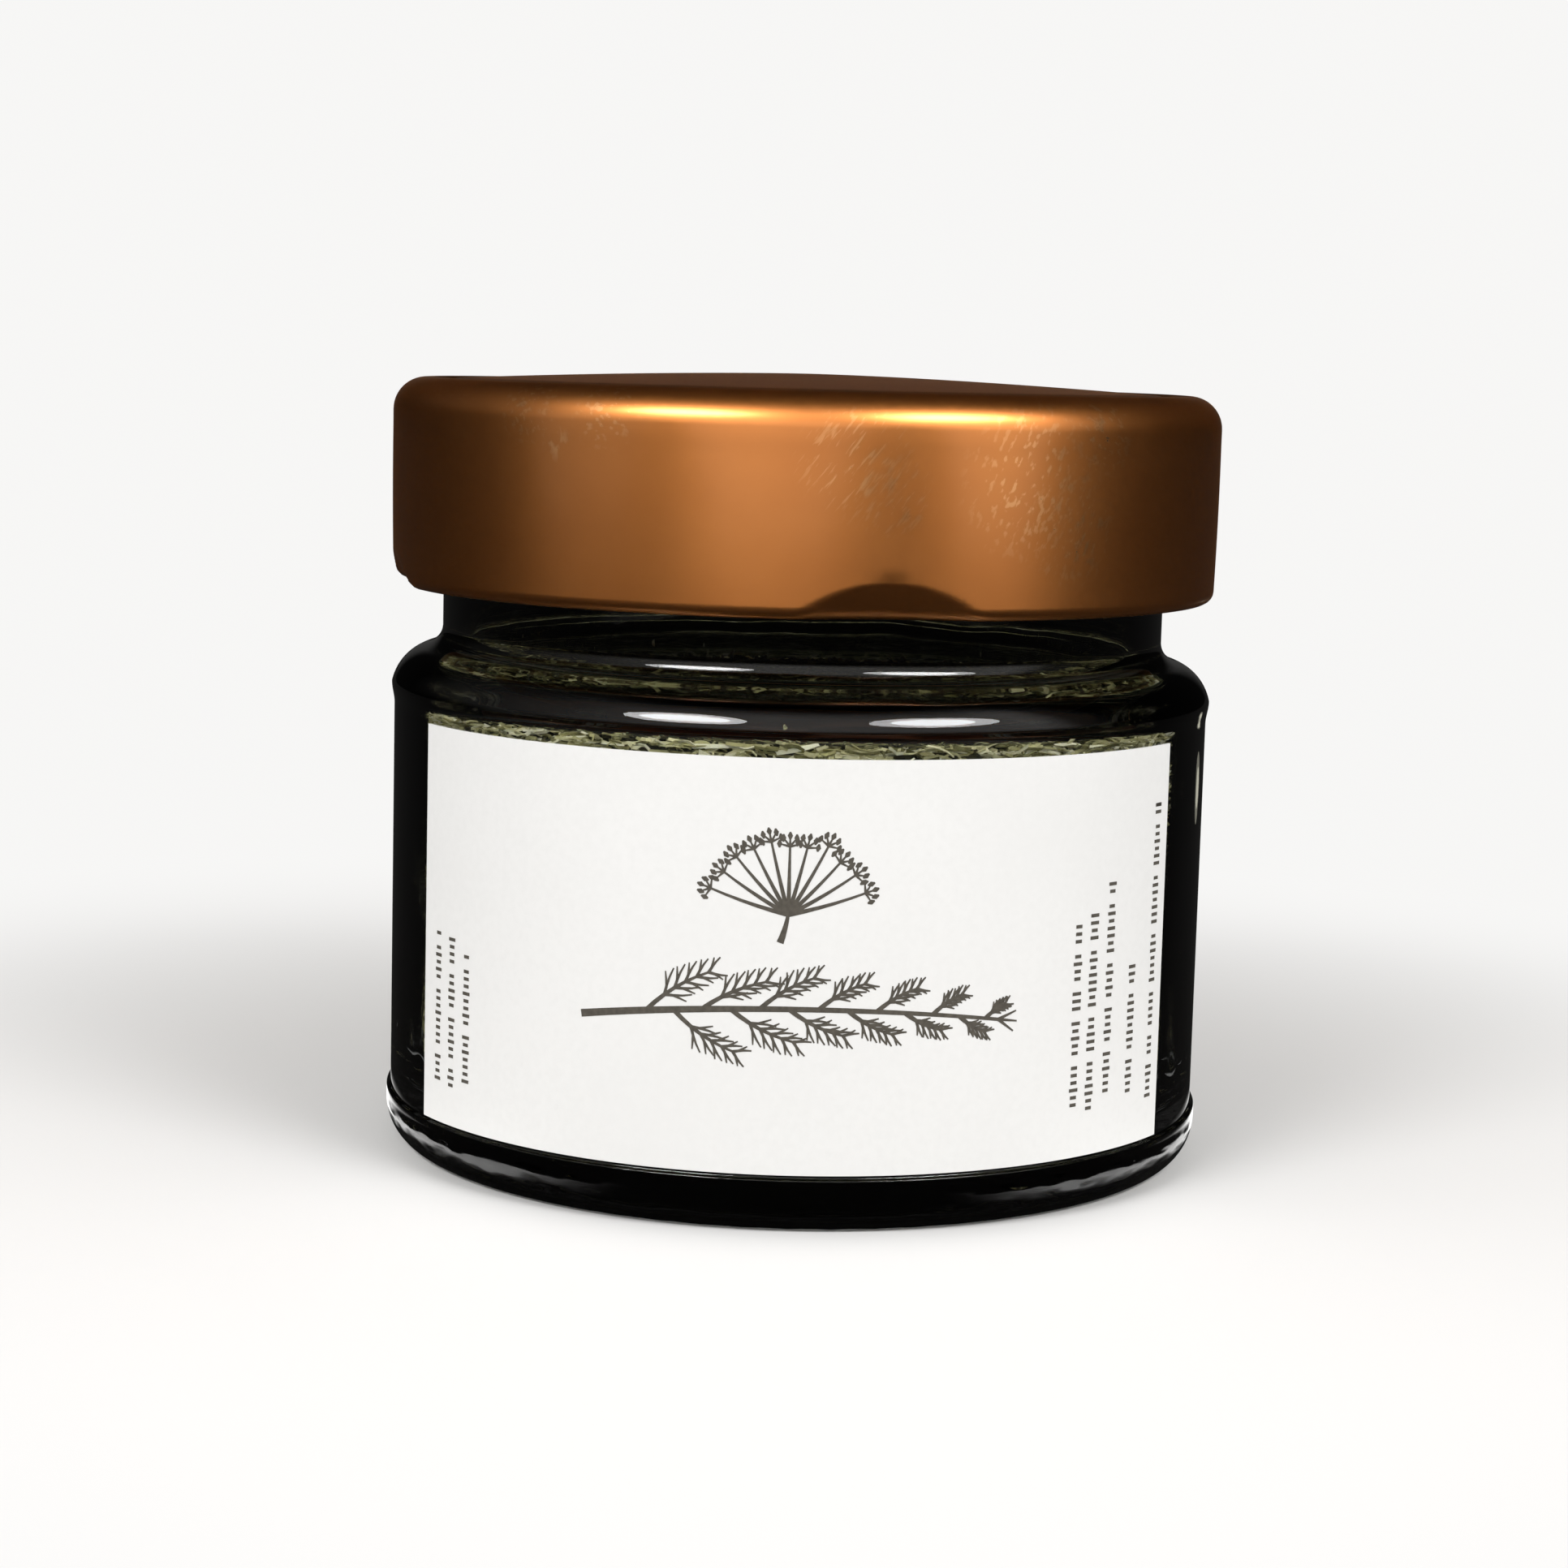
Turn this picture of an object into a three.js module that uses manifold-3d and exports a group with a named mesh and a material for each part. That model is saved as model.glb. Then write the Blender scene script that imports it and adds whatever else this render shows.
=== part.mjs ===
// A squat round spice jar of dried, rubbed dill: pressed glass, a deep four-lug
// twist-off lid with its sealing ring, a paper label and the dill that fills it.
//
// Units are millimetres, +Z is up, and the origin is the centre of the base.
// An azimuth is measured from the front (-Y) towards +X.

import * as THREE from 'three';
import { mergeVertices } from 'three/addons/utils/BufferGeometryUtils.js';
import Module from 'manifold-3d';

const wasm = await Module();
wasm.setup();

// ---------------------------------------------------------------- driving dimensions

const JAR_RADIUS = 30.5; // over the heel and shoulder bands
const PANEL_RADIUS = 30.2; // the label panel between them, set in
const PANEL_BOTTOM = 4.0;
const PANEL_TOP = 32.5;
const RIM_TOP = 54.3; // sealing edge of the mouth
const HEEL_WIDTH = 2.3;
const HEEL_HEIGHT = 3.0;
const FOOT_INNER = 24.6; // inner edge of the flat ring that the jar stands on
const PUSH_UP = 1.5; // height of the domed base above that ring
const SHOULDER_WIDTH = 3.3;
const SHOULDER_HEIGHT = 3.6;
const SHOULDER_START = 33.2;
const NECK_RADIUS = 26.7;
const NECK_BOTTOM = 38.2;
const FINISH_RADIUS = 27.3; // the mouth's outer wall, under the lid
const FINISH_BOTTOM = 42.7;

const BORE_RADIUS = 28.2; // inside of the body
const MOUTH_RADIUS = 24.6; // inside of the mouth
const FLOOR_TOP = 4.4;
const INNER_HEEL = 3.6;
const INNER_SHOULDER_BOTTOM = 33.4; // the cavity's shoulder lies low, under thick glass
const INNER_SHOULDER_TOP = 36.0;
const INNER_CORNER_RADIUS = 27.2; // the corner that its curve turns at
const INNER_CORNER_HEIGHT = 35.0;

const LUG_COUNT = 4;
const LUG_AZIMUTH = 11; // middle of the first lug, lid closed, degrees
const LUG_HALF_WIDTH = 12.5; // degrees
const LUG_TOP = 44.0; // top of the arched dent over the middle of a lug
const LUG_SLOPE = 0.6; // how far the dent leads inwards for each millimetre down
const TURN_RISE = 1.6; // rise of the lid for each radian of turn

const THREAD_RADIUS = 28.7; // crest of the mouth's thread ridges
const THREAD_BELOW = 43.5; // underside of a ridge over the middle of a closed lug
const THREAD_THICKNESS = 1.6;
const THREAD_START = 14; // degrees of ridge on the closing side of the lug
const THREAD_END = 44; // and on the opening side
const THREAD_TAPER = 7; // degrees over which each end fades out
const THREAD_ROOT = 0.5; // how deep a ridge is rooted in the glass

const LID_RADIUS = 30.5;
const LID_SHEET = 0.5;
const LID_BOTTOM = 41.4;
const LID_CREST = 56.4; // top of the lid's rolled shoulder
const LID_SHOULDER = 2.4;
const LID_CURL = 0.8; // radius of the rolled lower edge
const GROOVE_RADIUS = 27.0;
const GROOVE_DEPTH = 0.45;
const DOME_RADIUS = 25.9;
const DOME_RISE = 0.95;
const DOME_POWER = 1.6;

const GASKET_INNER = 24.4;
const GASKET_OUTER = 27.9;
const GASKET_GAP = 0.1; // between the ring and what it lies between
const GASKET_THICKNESS = 0.95;

const LABEL_HALF_ANGLE = 59; // degrees
const LABEL_BOTTOM = 4.2;
const LABEL_TOP = 32.3;
const LABEL_GAP = 0.07;
const LABEL_THICKNESS = 0.15;

const FILL_TOP = 33.4; // the dill's level at the wall, where the shoulder starts
const FILL_MOUND = 1.6; // and how much higher it is in the middle
const FILL_CLEARANCE = 0.35; // between the dill and the glass
const CRUMB_SIZE = 3.5; // spacing of the lumps on the packed core
const CRUMB_DEPTH = 1.9; // and how far the hollows between them sink
const FLAKE_LAYER = 0.45; // depth of the core's lumps under the fill's outline
const FLAKE_SUNK = 0.7; // depth of the middles of the flakes that stand out of them
const FLAKE_SPACING = 3.8; // least distance between the middles of two flakes
const FLAKE_SEED = 20261;
const WALL_FLAKES = 140;
const TOP_FLAKES = 58;

const JAR_SEGMENTS = 60;
const LID_SEGMENTS = 72;
const CORE_SEGMENTS = 40;

const radians = THREE.MathUtils.degToRad;

// ---------------------------------------------------------------- shared shaping

const point = (radius, height) => new THREE.Vector2(radius, height);

// Points of an elliptical arc, from one angle to another in degrees.
function arc(centreR, centreZ, halfWidth, halfHeight, from, to, steps) {
  const points = [];
  for (let i = 0; i <= steps; i += 1) {
    const angle = radians(from + ((to - from) * i) / steps);
    points.push(point(centreR + halfWidth * Math.cos(angle), centreZ + halfHeight * Math.sin(angle)));
  }
  return points;
}

// Points of a smooth curve that leaves `start` and reaches `end` by way of `corner`.
function sweep(start, corner, end, steps) {
  return new THREE.QuadraticBezierCurve(start, corner, end).getPoints(steps);
}

// Turns a profile of (radius, height) points about +Z, azimuth 0 at the front.
function turned(profile, segments) {
  return new THREE.LatheGeometry(profile, segments).rotateX(Math.PI / 2);
}

// Bends a flat box round the axis: x runs along the arc, y inwards and z up.
function wrapped(box, radius) {
  const position = box.attributes.position;
  for (let i = 0; i < position.count; i += 1) {
    const azimuth = position.getX(i) / radius;
    const r = radius - position.getY(i);
    position.setXYZ(i, r * Math.sin(azimuth), -r * Math.cos(azimuth), position.getZ(i));
  }
  return box;
}

function weld(geometry) {
  const plain = geometry.clone();
  plain.deleteAttribute('normal');
  plain.deleteAttribute('uv');
  return mergeVertices(plain, 1e-4);
}

function solid(geometry) {
  const welded = weld(geometry);
  return new wasm.Manifold(new wasm.Mesh({
    numProp: 3,
    vertProperties: welded.attributes.position.array,
    triVerts: Uint32Array.from(welded.index.array),
  }));
}

function fromSolid(manifold) {
  const mesh = manifold.getMesh();
  const geometry = new THREE.BufferGeometry();
  geometry.setAttribute('position', new THREE.BufferAttribute(mesh.vertProperties, 3));
  geometry.setIndex(new THREE.BufferAttribute(mesh.triVerts, 1));
  geometry.computeVertexNormals();
  return geometry;
}

const group = new THREE.Group();

function addPart(name, geometry, colour, roughness, metalness) {
  const material = new THREE.MeshStandardMaterial({ color: colour, roughness, metalness });
  const mesh = new THREE.Mesh(geometry, material);
  mesh.name = name;
  group.add(mesh);
  return mesh;
}

// ---------------------------------------------------------------- jar

// The cavity's wall below the shoulder, down to the middle of the floor, drawn in
// by `inset`.
function bodyWall(inset) {
  const heelCentre = point(BORE_RADIUS - INNER_HEEL, FLOOR_TOP + INNER_HEEL);
  const heelRadius = INNER_HEEL - inset;
  return [
    ...arc(heelCentre.x, heelCentre.y, heelRadius, heelRadius, 0, -90, 3),
    point(0, FLOOR_TOP + inset),
  ];
}

// The cavity's whole wall, from a height in the mouth down.
function cavityWall(inset, mouthTop) {
  const shoulderTop = point(MOUTH_RADIUS - inset, INNER_SHOULDER_TOP);
  const shoulderBottom = point(BORE_RADIUS - inset, INNER_SHOULDER_BOTTOM - inset);
  const shoulderCorner = point(INNER_CORNER_RADIUS - inset, INNER_CORNER_HEIGHT - inset);
  return [
    point(MOUTH_RADIUS - inset, mouthTop),
    ...sweep(shoulderTop, shoulderCorner, shoulderBottom, 4),
    ...bodyWall(inset),
  ];
}

function jarProfile() {
  const footOuter = JAR_RADIUS - HEEL_WIDTH;
  const shoulderCentre = JAR_RADIUS - SHOULDER_WIDTH;
  const shoulder = arc(
    shoulderCentre, SHOULDER_START, SHOULDER_WIDTH, SHOULDER_HEIGHT, 0, 75, 4,
  );
  const cove = sweep(
    shoulder[shoulder.length - 1],
    point(NECK_RADIUS + 0.1, NECK_BOTTOM - 1.1),
    point(NECK_RADIUS, NECK_BOTTOM),
    3,
  );
  return [
    point(0, PUSH_UP),
    point(FOOT_INNER - 3.0, PUSH_UP - 0.5),
    point(FOOT_INNER, 0),
    ...arc(footOuter, HEEL_HEIGHT, HEEL_WIDTH, HEEL_HEIGHT, -90, 0, 4),
    point(PANEL_RADIUS, PANEL_BOTTOM),
    point(PANEL_RADIUS, PANEL_TOP),
    ...shoulder,
    ...cove.slice(1),
    point(NECK_RADIUS, FINISH_BOTTOM - 0.5),
    point(FINISH_RADIUS, FINISH_BOTTOM),
    point(FINISH_RADIUS, RIM_TOP - 0.9),
    point(FINISH_RADIUS - 0.8, RIM_TOP),
    point(MOUTH_RADIUS + 0.8, RIM_TOP),
    ...cavityWall(0, RIM_TOP - 0.9),
  ];
}

// One thread ridge: it climbs with the lid's rise, is flat below, sloped above,
// and fades into the wall at both ends.
function threadRidge(azimuth) {
  const span = THREAD_START + THREAD_END;
  const box = new THREE.BoxGeometry(1, 1, 1, 10, 1, 1);
  const position = box.attributes.position;
  for (let i = 0; i < position.count; i += 1) {
    const along = position.getX(i) + 0.5;
    const turn = along * span - THREAD_START;
    const fade = Math.min(1, (Math.min(along, 1 - along) * span) / THREAD_TAPER);
    const crest = FINISH_RADIUS + (THREAD_RADIUS - FINISH_RADIUS) * (0.15 + 0.85 * fade);
    const atCrest = position.getY(i) < 0;
    const radius = atCrest ? crest : FINISH_RADIUS - THREAD_ROOT;
    const height = atCrest ? THREAD_THICKNESS * 0.6 : THREAD_THICKNESS;
    const lift = position.getZ(i) > 0 ? height : 0;
    const angle = radians(azimuth + turn);
    const z = THREAD_BELOW + TURN_RISE * radians(turn) + lift;
    position.setXYZ(i, radius * Math.sin(angle), -radius * Math.cos(angle), z);
  }
  return box;
}

function jar() {
  let glass = solid(turned(jarProfile(), JAR_SEGMENTS));
  for (let i = 0; i < LUG_COUNT; i += 1) {
    glass = glass.add(solid(threadRidge(LUG_AZIMUTH + (360 / LUG_COUNT) * i)));
  }
  return fromSolid(glass);
}

// ---------------------------------------------------------------- lid

function lidDome(radius) {
  const edge = LID_CREST - 0.05;
  return edge + DOME_RISE * (1 - (radius / DOME_RADIUS) ** DOME_POWER);
}

function lidProfile() {
  const inside = LID_RADIUS - LID_SHEET;
  const crestRadius = LID_RADIUS - LID_SHOULDER;
  const curlR = LID_RADIUS - LID_CURL;
  const curlZ = LID_BOTTOM + LID_CURL;
  const grooveTop = LID_CREST - GROOVE_DEPTH;
  const domeRadii = [0, 11, 19, DOME_RADIUS];
  const dome = domeRadii.map((radius) => point(radius, lidDome(radius)));
  const under = dome.map((above) => point(above.x, above.y - LID_SHEET));
  return [
    ...under,
    point(GROOVE_RADIUS - 0.4, grooveTop - LID_SHEET),
    point(GROOVE_RADIUS + 0.4, grooveTop - LID_SHEET),
    ...arc(
      crestRadius, LID_CREST - LID_SHOULDER, LID_SHOULDER - LID_SHEET, LID_SHOULDER - LID_SHEET, 90, 0, 3,
    ),
    point(inside, LUG_TOP),
    point(inside, curlZ + LID_CURL),
    ...arc(curlR, curlZ, LID_CURL, LID_CURL, 120, 360, 5),
    point(LID_RADIUS, curlZ + LID_CURL),
    point(LID_RADIUS, LUG_TOP),
    ...arc(crestRadius, LID_CREST - LID_SHOULDER, LID_SHOULDER, LID_SHOULDER, 0, 90, 5),
    point(GROOVE_RADIUS + 0.3, grooveTop),
    point(GROOVE_RADIUS - 0.3, grooveTop),
    ...dome.reverse(),
  ];
}

// How high the arched dents of the lugs reach at an azimuth.
function dentTop(azimuth) {
  const pitch = 360 / LUG_COUNT;
  const offset = THREE.MathUtils.euclideanModulo(azimuth - LUG_AZIMUTH + pitch / 2, pitch);
  const away = (offset - pitch / 2) / LUG_HALF_WIDTH;
  return LID_BOTTOM + (LUG_TOP - LID_BOTTOM) * Math.max(0, 1 - away * away);
}

function lid() {
  const shell = turned(lidProfile(), LID_SEGMENTS);
  const position = shell.attributes.position;
  for (let i = 0; i < position.count; i += 1) {
    const x = position.getX(i);
    const y = position.getY(i);
    const z = position.getZ(i);
    const below = dentTop(THREE.MathUtils.radToDeg(Math.atan2(x, -y))) - z;
    if (below > 0) {
      const radius = Math.hypot(x, y);
      const pressed = (radius - LUG_SLOPE * below) / radius;
      position.setXYZ(i, x * pressed, y * pressed, z);
    }
  }
  return weld(shell);
}

function gasket() {
  const bottom = RIM_TOP + GASKET_GAP;
  const top = bottom + GASKET_THICKNESS;
  return weld(turned([
    point(GASKET_INNER, bottom + 0.3),
    point(GASKET_INNER + 0.4, bottom),
    point(GASKET_OUTER - 0.4, bottom),
    point(GASKET_OUTER, bottom + 0.3),
    point(GASKET_OUTER, top - 0.2),
    point(GASKET_OUTER - 0.3, top),
    point(GASKET_INNER, top),
    point(GASKET_INNER, bottom + 0.3),
  ], JAR_SEGMENTS));
}

// ---------------------------------------------------------------- label

function label() {
  const radius = PANEL_RADIUS + LABEL_GAP;
  const length = 2 * radius * radians(LABEL_HALF_ANGLE);
  const box = new THREE.BoxGeometry(length, LABEL_THICKNESS, LABEL_TOP - LABEL_BOTTOM, 24, 1, 1);
  box.translate(0, -LABEL_THICKNESS / 2, (LABEL_TOP + LABEL_BOTTOM) / 2);
  return weld(wrapped(box, radius));
}

// ---------------------------------------------------------------- dill

// A repeatable random number from 0 to 1.
function seededRandom(seed) {
  let state = seed;
  return () => {
    state = (state + 0x6d2b79f5) | 0;
    let t = Math.imul(state ^ (state >>> 15), 1 | state);
    t = (t + Math.imul(t ^ (t >>> 7), 61 | t)) ^ t;
    return ((t ^ (t >>> 14)) >>> 0) / 4294967296;
  };
}

const random = seededRandom(FLAKE_SEED);
const between = (low, high) => low + (high - low) * random();

function fillTop(radius) {
  const share = radius / (BORE_RADIUS - FILL_CLEARANCE);
  return FILL_TOP + FILL_MOUND * (1 - share * share);
}

// The fill's outline from the middle of its floor to the middle of its top.
function fillOutline(inset) {
  const edge = point(BORE_RADIUS - FILL_CLEARANCE - inset, FILL_TOP - inset);
  const top = [20, 10, 0].map((radius) => point(radius, fillTop(radius) - inset));
  return [...bodyWall(FILL_CLEARANCE + inset).reverse(), edge, ...top];
}

// The packed core: the outline in even steps, turned, and every point of it
// sunk by its own amount so that it is lumpy all over.
function crumbledCore() {
  const outline = new THREE.CurvePath();
  const corners = fillOutline(FLAKE_LAYER);
  for (let i = 1; i < corners.length; i += 1) {
    outline.add(new THREE.LineCurve(corners[i - 1], corners[i]));
  }
  const steps = Math.round(outline.getLength() / CRUMB_SIZE);
  const core = weld(turned(outline.getSpacedPoints(steps), CORE_SEGMENTS));
  const position = core.attributes.position;
  const middle = new THREE.Vector3(0, 0, FILL_TOP / 2);
  for (let i = 0; i < position.count; i += 1) {
    const lump = new THREE.Vector3().fromBufferAttribute(position, i);
    const inward = middle.clone().sub(lump).setLength(between(0, CRUMB_DEPTH));
    lump.add(inward);
    position.setXYZ(i, lump.x, lump.y, lump.z);
  }
  return core;
}

// One crumbled thread of leaf, three-sided, lying along `along` at `place`.
function flake(place, along, length) {
  const thread = new THREE.CylinderGeometry(0.45, between(0.6, 0.72), length, 3, 1);
  const up = new THREE.Vector3(0, 1, 0);
  thread.applyQuaternion(new THREE.Quaternion().setFromUnitVectors(up, along));
  return solid(thread.translate(place.x, place.y, place.z));
}

// Flakes pressed against the glass, from the middle of the floor up to the fill line.
function wallFlakes() {
  const inset = FILL_CLEARANCE + FLAKE_SUNK;
  const route = [point(BORE_RADIUS - inset, FILL_TOP - 1), ...bodyWall(inset)]
    .map((p) => new THREE.Vector3(p.x, 0, p.y));
  const course = new THREE.CurvePath();
  for (let i = 1; i < route.length; i += 1) {
    course.add(new THREE.LineCurve3(route[i - 1], route[i]));
  }
  const flakes = [];
  const middles = [];
  while (flakes.length < WALL_FLAKES) {
    const at = random();
    const place = course.getPointAt(at);
    const azimuth = between(0, 2 * Math.PI);
    const around = new THREE.Vector3(Math.cos(azimuth), Math.sin(azimuth), 0);
    const middle = around.clone().multiplyScalar(place.x).setZ(place.z);
    const chosen = random() < place.x / BORE_RADIUS;
    if (chosen && middles.every((other) => other.distanceTo(middle) > FLAKE_SPACING)) {
      middles.push(middle);
      const climb = course.getTangentAt(at).applyAxisAngle(new THREE.Vector3(0, 0, 1), azimuth);
      const lean = between(-1.2, 1.2);
      const slope = place.z < FLOOR_TOP + INNER_HEEL ? lean * 0.3 : lean;
      const across = new THREE.Vector3(-around.y, around.x, 0);
      const along = across.multiplyScalar(Math.cos(slope)).addScaledVector(climb, Math.sin(slope));
      flakes.push(flake(middle, along.normalize(), between(4, 6.6)));
    }
  }
  return flakes;
}

// Loose flakes on top, some flat and some standing up.
function topFlakes() {
  const flakes = [];
  const reach = BORE_RADIUS - FILL_CLEARANCE - 2.2;
  for (let i = 0; i < TOP_FLAKES; i += 1) {
    const radius = reach * Math.sqrt(random());
    const azimuth = between(0, 2 * Math.PI);
    const heading = between(0, 2 * Math.PI);
    const tilt = between(-0.1, 0.75);
    const along = new THREE.Vector3(Math.cos(heading), Math.sin(heading), Math.sin(tilt));
    const centre = new THREE.Vector3(
      radius * Math.cos(azimuth), radius * Math.sin(azimuth), fillTop(radius) - FLAKE_LAYER + 0.2,
    );
    flakes.push(flake(centre, along.normalize(), between(3.6, 6)));
  }
  return flakes;
}

function dill() {
  const core = solid(crumbledCore());
  const flakes = wasm.Manifold.union([core, ...wallFlakes(), ...topFlakes()]);
  const room = solid(turned(fillRoom(), JAR_SEGMENTS));
  const bodies = flakes.intersect(room).decompose();
  bodies.sort((a, b) => b.volume() - a.volume());
  return fromSolid(bodies[0]);
}

// The space that the flakes may take up, clear of the glass.
function fillRoom() {
  return [...cavityWall(FILL_CLEARANCE, RIM_TOP - 4).reverse(), point(0, RIM_TOP - 4)];
}

// ---------------------------------------------------------------- assembly

addPart('jar', jar(), 0xc9d3cf, 0.05, 0);
addPart('dill_weed', dill(), 0x74704b, 0.95, 0);
addPart('label', label(), 0xf4f2ee, 0.8, 0);
addPart('lid_gasket', gasket(), 0xe9e4d6, 0.6, 0);
addPart('lid', lid(), 0xb8733a, 0.35, 0.9);

export default group;
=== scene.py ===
from math import atan2, cos, degrees, hypot, pi, radians, sin

import bmesh
import bpy
import numpy as np
from mathutils import Matrix, Vector, noise


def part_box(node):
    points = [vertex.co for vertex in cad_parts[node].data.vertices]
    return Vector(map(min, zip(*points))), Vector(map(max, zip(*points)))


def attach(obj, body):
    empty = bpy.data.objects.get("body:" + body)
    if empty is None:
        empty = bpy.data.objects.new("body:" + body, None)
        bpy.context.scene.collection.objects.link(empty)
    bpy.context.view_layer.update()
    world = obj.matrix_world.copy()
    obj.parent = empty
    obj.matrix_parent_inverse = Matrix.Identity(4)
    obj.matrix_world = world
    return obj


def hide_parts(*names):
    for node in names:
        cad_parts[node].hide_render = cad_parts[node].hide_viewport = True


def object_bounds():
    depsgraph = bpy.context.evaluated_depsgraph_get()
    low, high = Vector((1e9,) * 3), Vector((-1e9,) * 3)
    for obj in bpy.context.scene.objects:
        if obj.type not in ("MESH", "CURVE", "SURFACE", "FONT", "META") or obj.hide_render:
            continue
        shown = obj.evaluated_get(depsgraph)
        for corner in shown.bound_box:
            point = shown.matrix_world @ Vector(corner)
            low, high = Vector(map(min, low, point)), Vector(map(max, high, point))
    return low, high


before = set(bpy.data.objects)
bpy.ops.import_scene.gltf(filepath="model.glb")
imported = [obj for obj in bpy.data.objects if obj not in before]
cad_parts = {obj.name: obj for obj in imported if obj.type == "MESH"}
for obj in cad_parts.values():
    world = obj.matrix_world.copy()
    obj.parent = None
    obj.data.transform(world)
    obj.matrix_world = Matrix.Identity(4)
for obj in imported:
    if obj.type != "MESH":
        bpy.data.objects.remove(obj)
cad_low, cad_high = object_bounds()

MM = 0.001
scene = bpy.context.scene


# ---------------------------------------------------------------- camera
# A long lens set low, just above the lid's top, and held with a slight roll so
# that the jar leans to the right.

CAMERA_PLACE = Vector((0, -243.6, 58.65)) * MM
CAMERA_PITCH = radians(7.49)  # downwards
CAMERA_YAW = radians(-0.245)
CAMERA_ROLL = radians(1.497)
CAMERA_LENS = 74.96

forward = Vector((
    sin(CAMERA_YAW) * cos(CAMERA_PITCH),
    cos(CAMERA_YAW) * cos(CAMERA_PITCH),
    -sin(CAMERA_PITCH),
))
level = Vector((cos(CAMERA_YAW), -sin(CAMERA_YAW), 0))
upright = level.cross(forward)
camera_x = level * cos(CAMERA_ROLL) + upright * sin(CAMERA_ROLL)
camera_y = upright * cos(CAMERA_ROLL) - level * sin(CAMERA_ROLL)
lens = bpy.data.cameras.new("camera")
lens.lens = CAMERA_LENS
lens.sensor_width = 36
lens.clip_start = 0.01
camera = bpy.data.objects.new("camera", lens)
turn = Matrix((camera_x, camera_y, -forward)).transposed()
camera.matrix_world = Matrix.Translation(CAMERA_PLACE) @ turn.to_4x4()
scene.collection.objects.link(camera)
scene.camera = camera
scene.view_settings.view_transform = "Standard"


# ---------------------------------------------------------------- studio
# Two oval soft boxes in front, each with a brighter middle, a small card low
# behind on the right, wide boxes for the lid or the label alone, and a pale floor
# that runs into a pale backdrop. Gloss and glass see a dark room in place of those
# two, with a band of light in front and a painted glow on the floor beside the heel:
# a ring that gives off light of its own, which the heel mirrors as glints.

LIGHTS = {  # azimuth from the front, elevation, distance, width, height, radiance
    "key_left": (-34, 35, 0.55, 0.30, 0.17, 9.5),
    "key_left_core": (-34, 35, 0.54, 0.21, 0.10, 12.0),
    "key_right": (41, 37, 0.55, 0.32, 0.17, 8.0),
    "key_right_core": (41, 37, 0.54, 0.20, 0.11, 11.5),
    "low_card": (145, -7.2, 0.19, 0.016, 0.009, 0.35),
    "low_card_core": (145, -7.2, 0.185, 0.010, 0.005, 0.7),
}
LID_LIGHTS = {  # boxes that light the lid alone
    "lid_far_left": (-60, 8, 0.60, 0.40, 0.26, 0.4),
    "lid_left": (-8, 8, 0.60, 0.54, 0.26, 1.15),
    "lid_right": (51, 8, 0.60, 0.36, 0.26, 1.2),
}
LABEL_LIGHTS = {  # and the label with its art alone
    "label_left": (-85, 20, 0.50, 0.25, 0.25, 3.4),
    "label_right": (92, 20, 0.50, 0.25, 0.25, 4.1),
}
CARD_TINT = (1.0, 0.97, 0.78)
HALF = 0.5  # tells a ray that has been through glass, or off a matt face, from one that hasn't
FLOOR_RADIUS = 3.0
FLOOR_STEPS = 96
FLOOR_FADE = (0.04, 0.14)  # radii that the floor turns into the backdrop between
PALE = (0.93, 0.925, 0.915, 1)
FLOOR_NEAR = (0.74, 0.735, 0.73, 1)
FLOOR_BOUNCE = (0.45, 0.445, 0.43, 1)  # what the floor throws back at matt faces
FLOOR_GLOSS = (0.018, 0.0175, 0.017, 1)  # and what gloss mirrors of it
BLACK = (0, 0, 0, 1)
# painted glow: a ring of floor beside the heel that gives off light of its own, seen only by gloss and
# glass
SHEEN_SPAN = tuple(map(radians, (24, 46, 112, 132)))  # angles from the front, either way
SHEEN_RING = (0.031, 0.033, 0.036, 0.040)  # radii that it fades in and out between
SHEEN = 0.75  # what the heel mirrors of the floor beside it
SHEEN_THROUGH = 0.07  # and what shows through the heel
SHEEN_GAIN = 1.8  # how much brighter than pale it is
BAND_THROUGH = 0.35  # how much of the band the inner walls mirror
ROOM_TINT = (1, 0.985, 0.96, 1)
ROOM_DARK = 0.004
ROOM_FILL = 0.62  # the room's light on matt faces
FILL_FOOT = (0.08, 0.5)  # sines of the elevations between which the fill fades in
ROOM_FRONT = [  # azimuth, level
    (-140, 0.0), (-100, 0.06), (-75, 0.2), (-50, 0.45), (-30, 0.6), (-8, 0.75), (10, 0.7),
    (45, 0.65), (60, 0.75), (71, 0.8), (78, 0.5), (85, 0.1), (100, 0.0),
]
BAND_FOOT = (0.02, 0.30)  # the band's lower edge, as sines of the elevation
BAND_HEAD = (0.70, 0.92)
BACK_GLOW = 0.06  # low behind the jar
BACK_AHEAD = (0.93, 0.99)  # how nearly straight behind it lies
BACK_HEAD = (0.3, 0.1)  # and the sines of the elevation that it fades down between


def node_tree(owner):
    """The owner's node tree, emptied."""
    owner.use_nodes = True
    owner.node_tree.nodes.clear()
    return owner.node_tree


def put(tree, kind, inputs=None, **settings):
    """Adds a node. Inputs are values, or the sockets that feed them."""
    node = tree.nodes.new(kind)
    for key, value in settings.items():
        setattr(node, key, value)
    for key, value in (inputs or {}).items():
        socket = node.inputs[key]
        if isinstance(value, bpy.types.NodeSocket):
            tree.links.new(value, socket)
        else:
            socket.default_value = value
    return node


def maths(tree, operation, *values):
    """One sum on sockets or numbers."""
    return put(tree, "ShaderNodeMath", dict(enumerate(values)), operation=operation).outputs[0]


def vector_maths(tree, operation, *vectors):
    """One sum on vector sockets or values."""
    return put(tree, "ShaderNodeVectorMath", dict(enumerate(vectors)), operation=operation).outputs[0]


def length_of(tree, vector):
    """How long a vector socket's value is."""
    return put(tree, "ShaderNodeVectorMath", {0: vector}, operation="LENGTH").outputs["Value"]


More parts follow.
